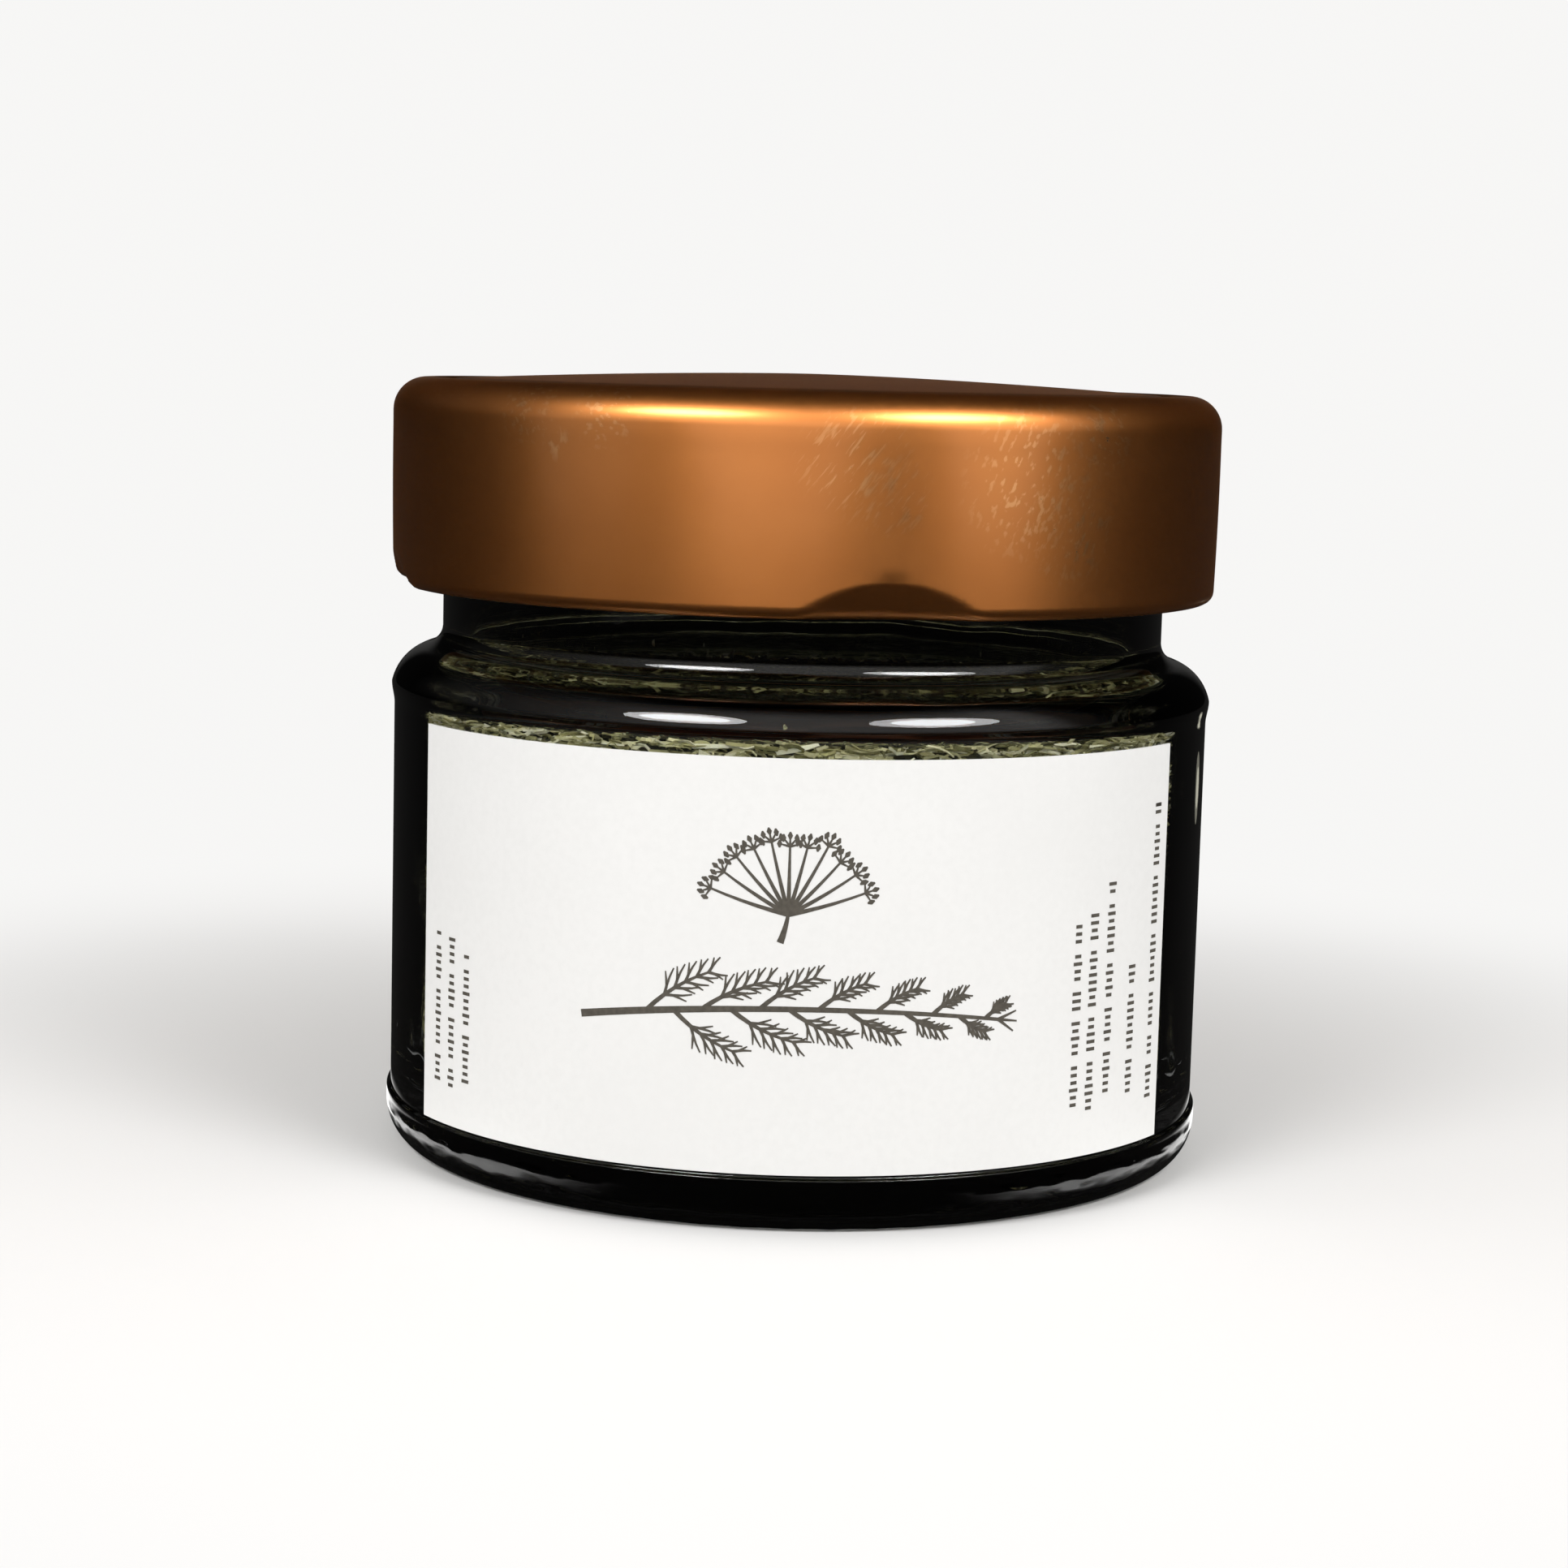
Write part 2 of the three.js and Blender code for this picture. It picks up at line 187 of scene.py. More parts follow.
def blend(tree, factor, first, second):
    """A mix of two colours, each a colour or a socket."""
    node = put(tree, "ShaderNodeMix", {0: factor, 6: first, 7: second}, data_type="RGBA")
    return node.outputs[2]


def between(tree, value, low, high, out_low=0.0, out_high=1.0):
    """Eases from out_low to out_high as a value goes from low to high."""
    ranged = {"Value": value, "From Min": low, "From Max": high, "To Min": out_low, "To Max": out_high}
    return put(tree, "ShaderNodeMapRange", ranged, interpolation_type="SMOOTHSTEP").outputs[0]


def plateau(tree, value, edges):
    """1 between the second and third edges, easing to 0 at the first and the last."""
    rise = between(tree, value, edges[0], edges[1])
    return maths(tree, "MULTIPLY", rise, between(tree, value, edges[3], edges[2]))


def ramp(tree, factor, stops):
    """A colour ramp through (position, colour) stops; a colour may be a grey number."""
    node = put(tree, "ShaderNodeValToRGB", {0: factor})
    band = node.color_ramp
    while len(band.elements) < len(stops):
        band.elements.new(0.5)
    for element, (position, colour) in zip(band.elements, stops):
        element.position = position
        element.color = colour if isinstance(colour, tuple) else (colour, colour, colour, 1)
    return node.outputs["Color"]


def aimed_light(name, azimuth, elevation, distance, width, height, radiance):
    """An oval soft box that faces the middle of the jar, and isn't seen through the glass."""
    data = bpy.data.lights.new(name, "AREA")
    data.shape = "ELLIPSE"
    data.size = width
    data.size_y = height
    data.energy = radiance * pi * (pi / 4 * width * height)
    data.color = CARD_TINT if "card" in name else (1, 1, 1)
    tree = node_tree(data)
    ray = put(tree, "ShaderNodeLightPath").outputs
    inside = maths(tree, "GREATER_THAN", ray["Transmission Depth"], HALF)
    through = maths(tree, "MULTIPLY", inside, maths(tree, "LESS_THAN", ray["Diffuse Depth"], HALF))
    glow = put(tree, "ShaderNodeEmission", {"Strength": maths(tree, "SUBTRACT", 1.0, through)})
    put(tree, "ShaderNodeOutputLight", {"Surface": glow.outputs[0]})
    lamp = bpy.data.objects.new(name, data)
    a, e = radians(azimuth), radians(elevation)
    towards = Vector((sin(a) * cos(e), -cos(a) * cos(e), sin(e)))
    centre = (cad_low + cad_high) / 2
    lamp.location = centre + towards * distance
    lamp.rotation_euler = towards.to_track_quat("Z", "Y").to_euler()
    lamp.visible_camera = False
    lamp.visible_diffuse = "card" not in name
    scene.collection.objects.link(lamp)
    return lamp


for name, values in LIGHTS.items():
    aimed_light(name, *values)
lid_alone = bpy.data.collections.new("lit_by_lid_boxes")
label_alone = bpy.data.collections.new("lit_by_label_box")
for receivers, boxes in ((lid_alone, LID_LIGHTS), (label_alone, LABEL_LIGHTS)):
    for name, values in boxes.items():
        aimed_light(name, *values).light_linking.receiver_collection = receivers


floor_bm = bmesh.new()
bmesh.ops.create_circle(floor_bm, cap_ends=True, segments=FLOOR_STEPS, radius=FLOOR_RADIUS)
floor_mesh = bpy.data.meshes.new("floor")
floor_bm.to_mesh(floor_mesh)
floor_bm.free()
floor = bpy.data.objects.new("floor", floor_mesh)
scene.collection.objects.link(floor)

floor_paint = bpy.data.materials.new("pale_floor")
tree = node_tree(floor_paint)
ray = put(tree, "ShaderNodeLightPath").outputs
where = put(tree, "ShaderNodeTexCoord").outputs["Object"]
away = length_of(tree, where)
fade = between(tree, away, *FLOOR_FADE)
split = put(tree, "ShaderNodeSeparateXYZ", {0: where}).outputs
ahead = maths(tree, "MULTIPLY", split["Y"], -1.0)
aside = maths(tree, "ABSOLUTE", maths(tree, "ARCTAN2", split["X"], ahead))
# painted glow on the floor beside the heel, for the heel to mirror as glints
ring = plateau(tree, away, SHEEN_RING)
span = plateau(tree, aside, SHEEN_SPAN)
sheen = maths(tree, "MULTIPLY", span, ring)
inside = maths(tree, "GREATER_THAN", ray["Transmission Depth"], HALF)
share = maths(tree, "MULTIPLY_ADD", inside, SHEEN_THROUGH - SHEEN, SHEEN)
plain = blend(tree, inside, FLOOR_GLOSS, BLACK)
glossy = blend(tree, maths(tree, "MULTIPLY", sheen, share), plain, PALE)
unseen = blend(tree, ray["Diffuse Depth"], glossy, FLOOR_BOUNCE)
matt = blend(tree, ray["Is Camera Ray"], unseen, FLOOR_NEAR)
paint = put(tree, "ShaderNodeBsdfDiffuse", {"Color": matt})
mirrored = maths(tree, "MULTIPLY", sheen, maths(tree, "SUBTRACT", 1.0, ray["Is Camera Ray"]))
glow = put(tree, "ShaderNodeEmission", {
    "Color": blend(tree, ray["Is Camera Ray"], unseen, PALE),
    "Strength": maths(tree, "MULTIPLY_ADD", mirrored, SHEEN_GAIN, 1.0),
})
both = put(tree, "ShaderNodeMixShader", {
    0: maths(tree, "MAXIMUM", fade, mirrored), 1: paint.outputs[0], 2: glow.outputs[0],
})
put(tree, "ShaderNodeOutputMaterial", {"Surface": both.outputs[0]})
floor_mesh.materials.append(floor_paint)

room = bpy.data.worlds.new("room")
scene.world = room
tree = node_tree(room)
ray = put(tree, "ShaderNodeLightPath").outputs
heading = put(tree, "ShaderNodeTexCoord").outputs["Generated"]
split = put(tree, "ShaderNodeSeparateXYZ", {0: heading}).outputs
facing = maths(tree, "ARCTAN2", split["X"], maths(tree, "MULTIPLY", split["Y"], -1.0))
turn_share = maths(tree, "MULTIPLY_ADD", facing, 0.5 / pi, 0.5)
front = ramp(tree, turn_share, [((a + 180) / 360, v) for a, v in ROOM_FRONT])
foot = between(tree, split["Z"], *BAND_FOOT)
head = between(tree, split["Z"], *BAND_HEAD, 1.0, 0.0)
band = maths(tree, "MULTIPLY", front, maths(tree, "MULTIPLY", foot, head))
clear_way = maths(tree, "LESS_THAN", ray["Transmission Depth"], HALF)
band_share = maths(tree, "MULTIPLY_ADD", clear_way, 1.0 - BAND_THROUGH, BAND_THROUGH)
band = maths(tree, "MULTIPLY", band, band_share)
behind = between(tree, split["Y"], *BACK_AHEAD)
behind = maths(tree, "MULTIPLY", behind, between(tree, split["Z"], *BACK_HEAD))
low_glow = maths(tree, "MULTIPLY", maths(tree, "MULTIPLY", behind, clear_way), BACK_GLOW)
dark = maths(tree, "MULTIPLY", clear_way, ROOM_DARK)
gloss = maths(tree, "ADD", maths(tree, "ADD", band, low_glow), dark)
fill = between(tree, split["Z"], *FILL_FOOT, 0.0, ROOM_FILL)
strength = put(tree, "ShaderNodeMix", {0: ray["Diffuse Depth"], 2: gloss, 3: fill}).outputs[0]
dim = put(tree, "ShaderNodeBackground", {"Color": ROOM_TINT, "Strength": strength})
backdrop = put(tree, "ShaderNodeBackground", {"Color": PALE, "Strength": 1.0})
seen = put(tree, "ShaderNodeMixShader", {
    0: ray["Is Camera Ray"], 1: dim.outputs[0], 2: backdrop.outputs[0],
})
put(tree, "ShaderNodeOutputWorld", {"Surface": seen.outputs[0]})


# ---------------------------------------------------------------- jar
# Clear glass, pressed and blown in one piece, so its wall is a little uneven
# inside: a domed base in a ring of knurls, a label panel between two bands, a
# rounded shoulder and a mouth with four thread ridges.

jar_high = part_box("jar")[1]
JAR_R = jar_high.x
RIM_TOP = jar_high.z
PANEL_R = JAR_R - 0.3 * MM
PANEL_BOTTOM = 4.0 * MM
PANEL_TOP = 32.5 * MM
LEDGE = 3.9 * MM  # the narrow shelf under the panel
LEDGE_ROUND = 0.14 * MM
HEEL = Vector((2.3, 3.0)) * MM  # how far its curve reaches in and up
FOOT_INNER = 24.6 * MM
PUSH_UP = 1.5 * MM
SHOULDER = Vector((3.3, 3.6)) * MM
SHOULDER_START = 33.2 * MM
SHOULDER_SWING = (14, 75)  # degrees of its curve that are left between the panel and the neck
NECK_R = 26.7 * MM
NECK_BOTTOM = 38.2 * MM
FINISH_R = 27.3 * MM
FINISH_BOTTOM = 42.7 * MM  # the finish is the band that carries the thread
FINISH_TOP = 47.6 * MM  # where the ridges end
RIM_ROUND = 0.8 * MM
BORE_R = 28.2 * MM
MOUTH_R = 24.6 * MM
FLOOR_TOP = 4.4 * MM
INNER_HEEL = 3.6 * MM
INNER_SHOULDER_BOTTOM = 33.4 * MM
INNER_SHOULDER_TOP = 36.0 * MM
INNER_CORNER = (27.2 * MM, 35.0 * MM)  # the corner that its curve turns at
JAR_STEPS = 480
GUARD = 0.25 * MM  # a short step that keeps the shading of a long run flat

LUG_AZIMUTH = 11  # degrees from the front, towards +X
LUG_PITCH = 90
TURN_RISE = 1.6 * MM  # for each radian that the lid turns
THREAD_R = 28.7 * MM
THREAD_BELOW = 43.5 * MM
THREAD_THICKNESS = 1.6 * MM
THREAD_START = 14  # degrees of ridge on the closing side of the lug
THREAD_END = 44  # and on the opening side
THREAD_TAPER = 7
THREAD_FLANK = 1.6  # how steeply the ridge's sides rise

KNURLS = 60
KNURL_DEPTH = 0.28 * MM
KNURL_MIDDLE = 26.9 * MM  # radius of the ring of knurls
KNURL_REACH = 1.9 * MM
KNURL_POWER = 0.7
HEEL_RIPPLE = 0.22 * MM  # unevenness of the cavity's lower corner
RIPPLE_FROM = 16 * MM  # radius where it starts
RIPPLE_WAVES = (330, 800)
GLASS_TINT = (0.965, 0.985, 0.975, 1)
GLASS_IOR = 1.52
WAVY_SCALE = 90
STIPPLE_SCALE = 520
STIPPLE_STRETCH = (0.55, 0.55, 1.7)
STIPPLE_CLEAR = (7 * MM, 16 * MM)  # the heel is nearly smooth this near the middle of the front
STIPPLE_LEAST = 0.15
STIPPLE_UP = (HEEL.y * 1.15, HEEL.y * 0.8)  # heights that it fades in between, downwards
SPECK_SCALE = 700
SPECK_ROUGH = [(0.0, 0.0), (0.62, 0.004), (0.75, 0.05)]


def arc(centre_r, centre_z, wide, high, start, end, steps):
    """(radius, height) points on an ellipse, from one angle to another in degrees."""
    angles = [radians(start + (end - start) * i / steps) for i in range(steps + 1)]
    return [(centre_r + wide * cos(a), centre_z + high * sin(a)) for a in angles]


def sweep(start, corner, end, steps):
    """Points of a smooth curve that turns at a corner."""
    a, b, c = (Vector(p).to_2d() for p in (start, corner, end))
    shares = [i / steps for i in range(steps + 1)]
    return [tuple(a.lerp(b, t).lerp(b.lerp(c, t), t)) for t in shares]


def eased(start, end, steps):
    """Points of a step that leaves and arrives straight up."""
    shares = [i / steps for i in range(steps + 1)]
    wide, high = end[0] - start[0], end[1] - start[1]
    return [(start[0] + wide * t * t * (3 - 2 * t), start[1] + high * t) for t in shares]


def body_wall(inset, fine=8):
    """The cavity's wall below the shoulder, down to the middle of the floor."""
    heel = INNER_HEEL - inset
    return [
        *arc(BORE_R - INNER_HEEL, FLOOR_TOP + INNER_HEEL, heel, heel, 0, -90, fine),
        (0, FLOOR_TOP + inset),
    ]


def cavity(mouth_top, fine=16):
    """The cavity's whole wall, from a height in the mouth down."""
    shoulder = sweep((MOUTH_R, INNER_SHOULDER_TOP), INNER_CORNER, (BORE_R, INNER_SHOULDER_BOTTOM), fine)
    return [(MOUTH_R, mouth_top), *shoulder, *body_wall(0)]


def stretched(points, spacing, guard=0.0):
    """The same outline in steps no longer than a spacing, with a short guard step at
    both ends of each long run that keeps its shading flat."""
    finer = [points[0]]
    for a, b in zip(points, points[1:]):
        length = hypot(b[0] - a[0], b[1] - a[1])
        steps = max(1, round(length / spacing))
        shares = [i / steps for i in range(1, steps + 1)]
        if guard and length > 4 * guard:
            shares = sorted(shares + [guard / length, 1 - guard / length])
        finer += [(a[0] + (b[0] - a[0]) * t, a[1] + (b[1] - a[1]) * t) for t in shares]
    return finer


def spun(points, steps):
    """A closed solid, turned from (radius, height) points about the jar's axis."""
    bm = bmesh.new()
    row = [bm.verts.new((0, -r, z)) for r, z in points]
    edges = [bm.edges.new(pair) for pair in zip(row, row[1:])]
    bmesh.ops.spin(
        bm, geom=row + edges, cent=(0, 0, 0), axis=(0, 0, 1), angle=2 * pi, steps=steps, use_merge=True,
    )
    bmesh.ops.remove_doubles(bm, verts=bm.verts, dist=1e-6)
    bmesh.ops.recalc_face_normals(bm, faces=bm.faces)
    return bm


def finished(bm, name, material, smooth=True):
    """The piece made from a bmesh, at the origin."""
    mesh = bpy.data.meshes.new(name)
    bm.to_mesh(mesh)
    bm.free()
    mesh.materials.append(material)
    mesh.polygons.foreach_set("use_smooth", [smooth] * len(mesh.polygons))
    piece = bpy.data.objects.new(name, mesh)
    scene.collection.objects.link(piece)
    return piece


def clouds(tree, where, scale, detail):
    """Soft noise over the surface, from 0 to 1."""
    return put(tree, "ShaderNodeTexNoise", {"Vector": where, "Scale": scale, "Detail": detail}).outputs[0]


def azimuth_of(x, y):
    """Degrees from the front, towards +X."""
    return degrees(atan2(x, -y))


def ridge_height(azimuth, z):
    """How far a thread ridge stands out of the mouth's wall."""
    tallest = 0
    for lug in range(4):
        turned = (azimuth - LUG_AZIMUTH - LUG_PITCH * lug + 180) % 360 - 180
        if -THREAD_START <= turned <= THREAD_END:
            under = THREAD_BELOW + TURN_RISE * radians(turned)
            middle = under + THREAD_THICKNESS * 0.45
            fade = min(1, min(turned + THREAD_START, THREAD_END - turned) / THREAD_TAPER)
            swell = 1 - ((z - middle) / (THREAD_THICKNESS * 0.5)) ** 2
            tallest = max(tallest, min(1, THREAD_FLANK * swell) * fade)
    return tallest * (THREAD_R - FINISH_R)


def knurl_gap(azimuth, r):
    """How far the foot ring is hollowed between two knurls."""
    across = max(0, 1 - ((r - KNURL_MIDDLE) / KNURL_REACH) ** 2)
    along = 0.5 - 0.5 * cos(radians(azimuth) * KNURLS)
    return KNURL_DEPTH * across * along ** KNURL_POWER


shoulder_r = JAR_R - SHOULDER.x
shoulder_arc = arc(shoulder_r, SHOULDER_START, SHOULDER.x, SHOULDER.y, *SHOULDER_SWING, 14)
push_up_edge = (FOOT_INNER - 5 * MM, PUSH_UP - 0.1 * MM)
outside = [
    (0, PUSH_UP),
    *sweep(push_up_edge, (FOOT_INNER - 2 * MM, PUSH_UP - 0.3 * MM), (FOOT_INNER, 0), 8),
    *[(FOOT_INNER + step * 0.4 * MM, 0) for step in range(1, 9)],
    *arc(JAR_R - HEEL.x, HEEL.y, HEEL.x, HEEL.y, -90, 0, 14),
    (JAR_R, HEEL.y + 0.4 * MM),
    *sweep((JAR_R, LEDGE - LEDGE_ROUND), (JAR_R, LEDGE), (JAR_R - LEDGE_ROUND, LEDGE), 5),
    (PANEL_R, LEDGE + 0.01 * MM),
    (PANEL_R, PANEL_BOTTOM + 0.1 * MM),
    *eased((PANEL_R, PANEL_TOP), shoulder_arc[0], 12),
    *shoulder_arc[1:],
]
outside += sweep(outside[-1], (NECK_R + 0.1 * MM, NECK_BOTTOM - 1.1 * MM), (NECK_R, NECK_BOTTOM), 10)[1:]
outside += [
    (NECK_R, FINISH_BOTTOM - 0.5 * MM),
    (FINISH_R, FINISH_BOTTOM),
    *stretched([(FINISH_R, FINISH_BOTTOM + 0.1 * MM), (FINISH_R, FINISH_TOP)], 0.25 * MM),
    (FINISH_R, RIM_TOP - 0.9 * MM),
    *sweep((FINISH_R, RIM_TOP - RIM_ROUND), (FINISH_R, RIM_TOP), (FINISH_R - RIM_ROUND, RIM_TOP), 5),
    *sweep((MOUTH_R + RIM_ROUND, RIM_TOP), (MOUTH_R, RIM_TOP), (MOUTH_R, RIM_TOP - 0.9 * MM), 5),
]
jar_bm = spun(stretched(outside + cavity(RIM_TOP - MM), 4 * MM, GUARD), JAR_STEPS)
for v in jar_bm.verts:
    r = hypot(v.co.x, v.co.y)
    azimuth = azimuth_of(v.co.x, v.co.y)
    if r > FINISH_R - 0.05 * MM and FINISH_BOTTOM < v.co.z < FINISH_TOP + 0.2 * MM:
        grow = 1 + ridge_height(azimuth, v.co.z) / r
        v.co.x *= grow
        v.co.y *= grow
    if v.co.z < 0.5 * MM and r > FOOT_INNER - MM:
        v.co.z += knurl_gap(azimuth, r)
    low_down = FLOOR_TOP - 0.1 * MM < v.co.z < FLOOR_TOP + 5 * MM
    if low_down and RIPPLE_FROM < r < BORE_R + 0.1 * MM:
        sunk = noise.noise(v.co * RIPPLE_WAVES[0]) + 0.5 * noise.noise(v.co * RIPPLE_WAVES[1])
        v.co *= 1 - HEEL_RIPPLE * (0.5 + 0.5 * sunk) / r

glass = bpy.data.materials.new("jar_glass")
tree = node_tree(glass)
where = put(tree, "ShaderNodeTexCoord").outputs["Object"]
wavy = clouds(tree, where, WAVY_SCALE, 1.5)
bump = put(tree, "ShaderNodeBump", {"Height": wavy, "Strength": 0.2, "Distance": 0.0006})
split = put(tree, "ShaderNodeSeparateXYZ", {0: where}).outputs
aside = between(tree, maths(tree, "ABSOLUTE", split["X"]), *STIPPLE_CLEAR, STIPPLE_LEAST, 1.0)
low = maths(tree, "MULTIPLY", between(tree, split["Z"], *STIPPLE_UP), aside)
grit = clouds(tree, vector_maths(tree, "MULTIPLY", where, STIPPLE_STRETCH), STIPPLE_SCALE, 1.0)
stipple = maths(tree, "MULTIPLY", grit, low)
bump = put(tree, "ShaderNodeBump", {
    "Height": stipple, "Strength": 0.8, "Distance": 0.0003, "Normal": bump.outputs[0],
})
rough = ramp(tree, clouds(tree, where, SPECK_SCALE, 3), SPECK_ROUGH)
body = put(tree, "ShaderNodeBsdfPrincipled", {
    "Base Color": GLASS_TINT, "Roughness": rough, "Metallic": 0.0,
    "IOR": GLASS_IOR, "Transmission Weight": 1.0, "Normal": bump.outputs[0],
})
put(tree, "ShaderNodeOutputMaterial", {"Surface": body.outputs[0]})

jar = finished(jar_bm, "glass_jar", glass)
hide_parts("jar")
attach(jar, "jar")


# ---------------------------------------------------------------- lid
# One drawn sheet of tinplate with a satin copper lacquer. Its lower edge is
# rolled inwards, and pressed in at four places to make the lugs that grip the
# thread. Handling has scuffed the side and nicked the rolled shoulder.

lid_low, lid_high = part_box("lid")
LID_R = lid_high.x
LID_BOTTOM = lid_low.z
LID_SHEET = 0.5 * MM
LID_CREST = lid_high.z - 0.9 * MM
LID_SHOULDER = 2.4 * MM
LID_CURL = 0.8 * MM
GROOVE_R = 27.0 * MM
GROOVE_DEPTH = 0.45 * MM
DOME_R = 25.9 * MM
DOME_RISE = 0.95 * MM
DOME_POWER = 1.6
LUG_HALF_WIDTH = 12.5  # degrees
LUG_TOP = 44.0 * MM  # top of the arched dent over the middle of a lug
LUG_SLOPE = 0.6  # how far the dent leads inwards as it goes down
DENT_EDGE = 0.12 * MM  # softness of the dent's edge
LID_WAIST = 0.12 * MM  # how much the skirt draws in away from its widest height
LID_WIDEST = 51 * MM
WAIST_REACH = 9 * MM
LID_STEPS = 360
inside_r = LID_R - LID_SHEET
crest_r = LID_R - LID_SHOULDER
crest_z = LID_CREST - LID_SHOULDER
groove_z = LID_CREST - GROOVE_DEPTH


def dome_height(r):
    """The height of the lid's top panel."""
    return LID_CREST - 0.05 * MM + DOME_RISE * (1 - (r / DOME_R) ** DOME_POWER)


def dent_top(azimuth):
    """How high the arched dent of a lug reaches."""
    away = (azimuth - LUG_AZIMUTH + LUG_PITCH / 2) % LUG_PITCH - LUG_PITCH / 2
    return LID_BOTTOM + (LUG_TOP - LID_BOTTOM) * max(0, 1 - (away / LUG_HALF_WIDTH) ** 2)


def drawn_in(azimuth, z):
    """How far the lid's side is drawn in, by its waist and by a lug's dent."""
    waist = LID_WAIST * ((z - LID_WIDEST) / WAIST_REACH) ** 2 if z < crest_z else 0
    below = max(0, dent_top(azimuth) - z)
    return waist + LUG_SLOPE * below * below / (below + DENT_EDGE)


curl = (LID_R - LID_CURL, LID_BOTTOM + LID_CURL)
dome = [(DOME_R * i / 16, dome_height(DOME_R * i / 16)) for i in range(17)]
skirt_steps = [crest_z - (crest_z - LUG_TOP) * i / 9 for i in range(1, 10)]
press_steps = [LUG_TOP - (LUG_TOP - curl[1]) * i / 16 for i in range(1, 16)]
inner_edge = [(inside_r, z) for z in skirt_steps + [z for z in press_steps if z > curl[1] + LID_CURL]]
outer_edge = [(LID_R, z) for z in reversed(skirt_steps + press_steps)]
groove_in, groove_out = GROOVE_R - 0.5 * MM, GROOVE_R + 0.5 * MM
lid_outline = (
    [(r, z - LID_SHEET) for r, z in dome]
    + [(groove_in, groove_z - LID_SHEET), (groove_out, groove_z - LID_SHEET)]
    + arc(crest_r, crest_z, LID_SHOULDER - LID_SHEET, LID_SHOULDER - LID_SHEET, 90, 0, 10)
    + inner_edge
    + arc(curl[0], curl[1], LID_CURL, LID_CURL, 115, 360, 14)
    + outer_edge
    + arc(crest_r, crest_z, LID_SHOULDER, LID_SHOULDER, 0, 90, 14)
    + sweep((crest_r - 0.1 * MM, LID_CREST), (groove_out, groove_z - 0.1 * MM), (GROOVE_R, groove_z), 4)
    + sweep((GROOVE_R - 0.1 * MM, groove_z), (groove_in, groove_z), dome[-1], 4)[:-1]
    + dome[::-1]
)
lid_bm = spun(lid_outline, LID_STEPS)
for v in lid_bm.verts:
    r = hypot(v.co.x, v.co.y)
    if r > inside_r - 1.5 * MM and v.co.z < crest_z:
        pressed = 1 - drawn_in(azimuth_of(v.co.x, v.co.y), v.co.z) / r
        v.co.x *= pressed
        v.co.y *= pressed

LID_COPPER = (0.74, 0.275, 0.072, 1)
LID_COPPER_DEEP = (0.6, 0.2, 0.047, 1)
LID_MARKED = (0.96, 0.52, 0.22, 1)
# painted shade in the groove round the top panel, darkening the lacquer there
GROOVE_PAINTED_SHADE = (0.22, 0.07, 0.016, 1)
GROOVE_SHADE = (24 * MM, GROOVE_R, GROOVE_R, GROOVE_R + 1.6 * MM)  # radii that the painted shade darkens over
LACQUER_ROUGH = (0.31, 0.38)
MARK_TINT = 0.55  # how far a mark turns the lacquer's colour
MARK_POLISH = -0.06  # and what it does to its roughness


def new_group(name, ins, outs):
    """An empty node group: ins are (name, socket, value), outs are (name, socket)."""
    group = bpy.data.node_groups.new(name, "ShaderNodeTree")
    for label, kind, value in ins:
        socket = group.interface.new_socket(label, in_out="INPUT", socket_type=kind)
        if value is not None:
            socket.default_value = value
    for label, kind in outs:
        group.interface.new_socket(label, in_out="OUTPUT", socket_type=kind)
    return group, group.nodes.new("NodeGroupInput"), group.nodes.new("NodeGroupOutput")


# fine marks in a patch: straight scratches that all run one way, or crazed lines
scuffs, given, result = new_group(
    "scuffs",
    [("Vector", "NodeSocketVector", None), ("Centre", "NodeSocketVector", (0, 0, 0)),
     ("Radius", "NodeSocketFloat", 0.005), ("Turn", "NodeSocketVector", (0, 0, 0)),
     ("Fineness", "NodeSocketFloat", 900.0), ("Stretch", "NodeSocketVector", (1, 1, 1))],
    [("Mask", "NodeSocketFloat")],
)
given = given.outputs
gap = vector_maths(scuffs, "SUBTRACT", given["Vector"], given["Centre"])
near = maths(scuffs, "DIVIDE", length_of(scuffs, gap), given["Radius"])
patch = ramp(scuffs, near, [(0.35, 1.0), (1.0, 0.0)])
turned = put(
    scuffs, "ShaderNodeVectorRotate", {"Vector": gap, "Rotation": given["Turn"]}, rotation_type="EULER_XYZ",
).outputs[0]
grain = clouds(scuffs, vector_maths(scuffs, "MULTIPLY", turned, given["Stretch"]), given["Fineness"], 2.0)
lines = ramp(scuffs, grain, [(0.56, 0.0), (0.64, 1.0)])
scuffs.links.new(maths(scuffs, "MULTIPLY", lines, patch), result.inputs["Mask"])


def on_lid_side(azimuth, height):
    """A place on the lid's side, from degrees and millimetres."""
    a = radians(azimuth)
    return Vector((LID_R * sin(a), -LID_R * cos(a), height * MM))


lacquer = bpy.data.materials.new("copper_lacquer")
tree = node_tree(lacquer)
where = put(tree, "ShaderNodeTexCoord").outputs["Object"]
cloud = clouds(tree, where, 140, 4)
fleck = clouds(tree, where, 2600, 2)
MARKS = [  # azimuth, height, radius, turn, fineness, stretch
    (6, 51.8, 4.2, -36, 4200.0, 0.15),
    (11, 49.6, 3.0, -36, 4200.0, 0.18),
    (30, 50.6, 6.0, -30, 2300.0, 0.5),
    (36, 47.6, 4.2, -30, 2300.0, 0.5),
    (-38, 54.8, 2.8, 70, 2600.0, 0.5),
    (-26, 54.6, 2.8, 70, 2600.0, 0.5),
    (-33, 52.4, 1.3, 10, 2200.0, 0.4),
    (41, 54.0, 3.2, 80, 2300.0, 0.4),
]
marks = 0.0
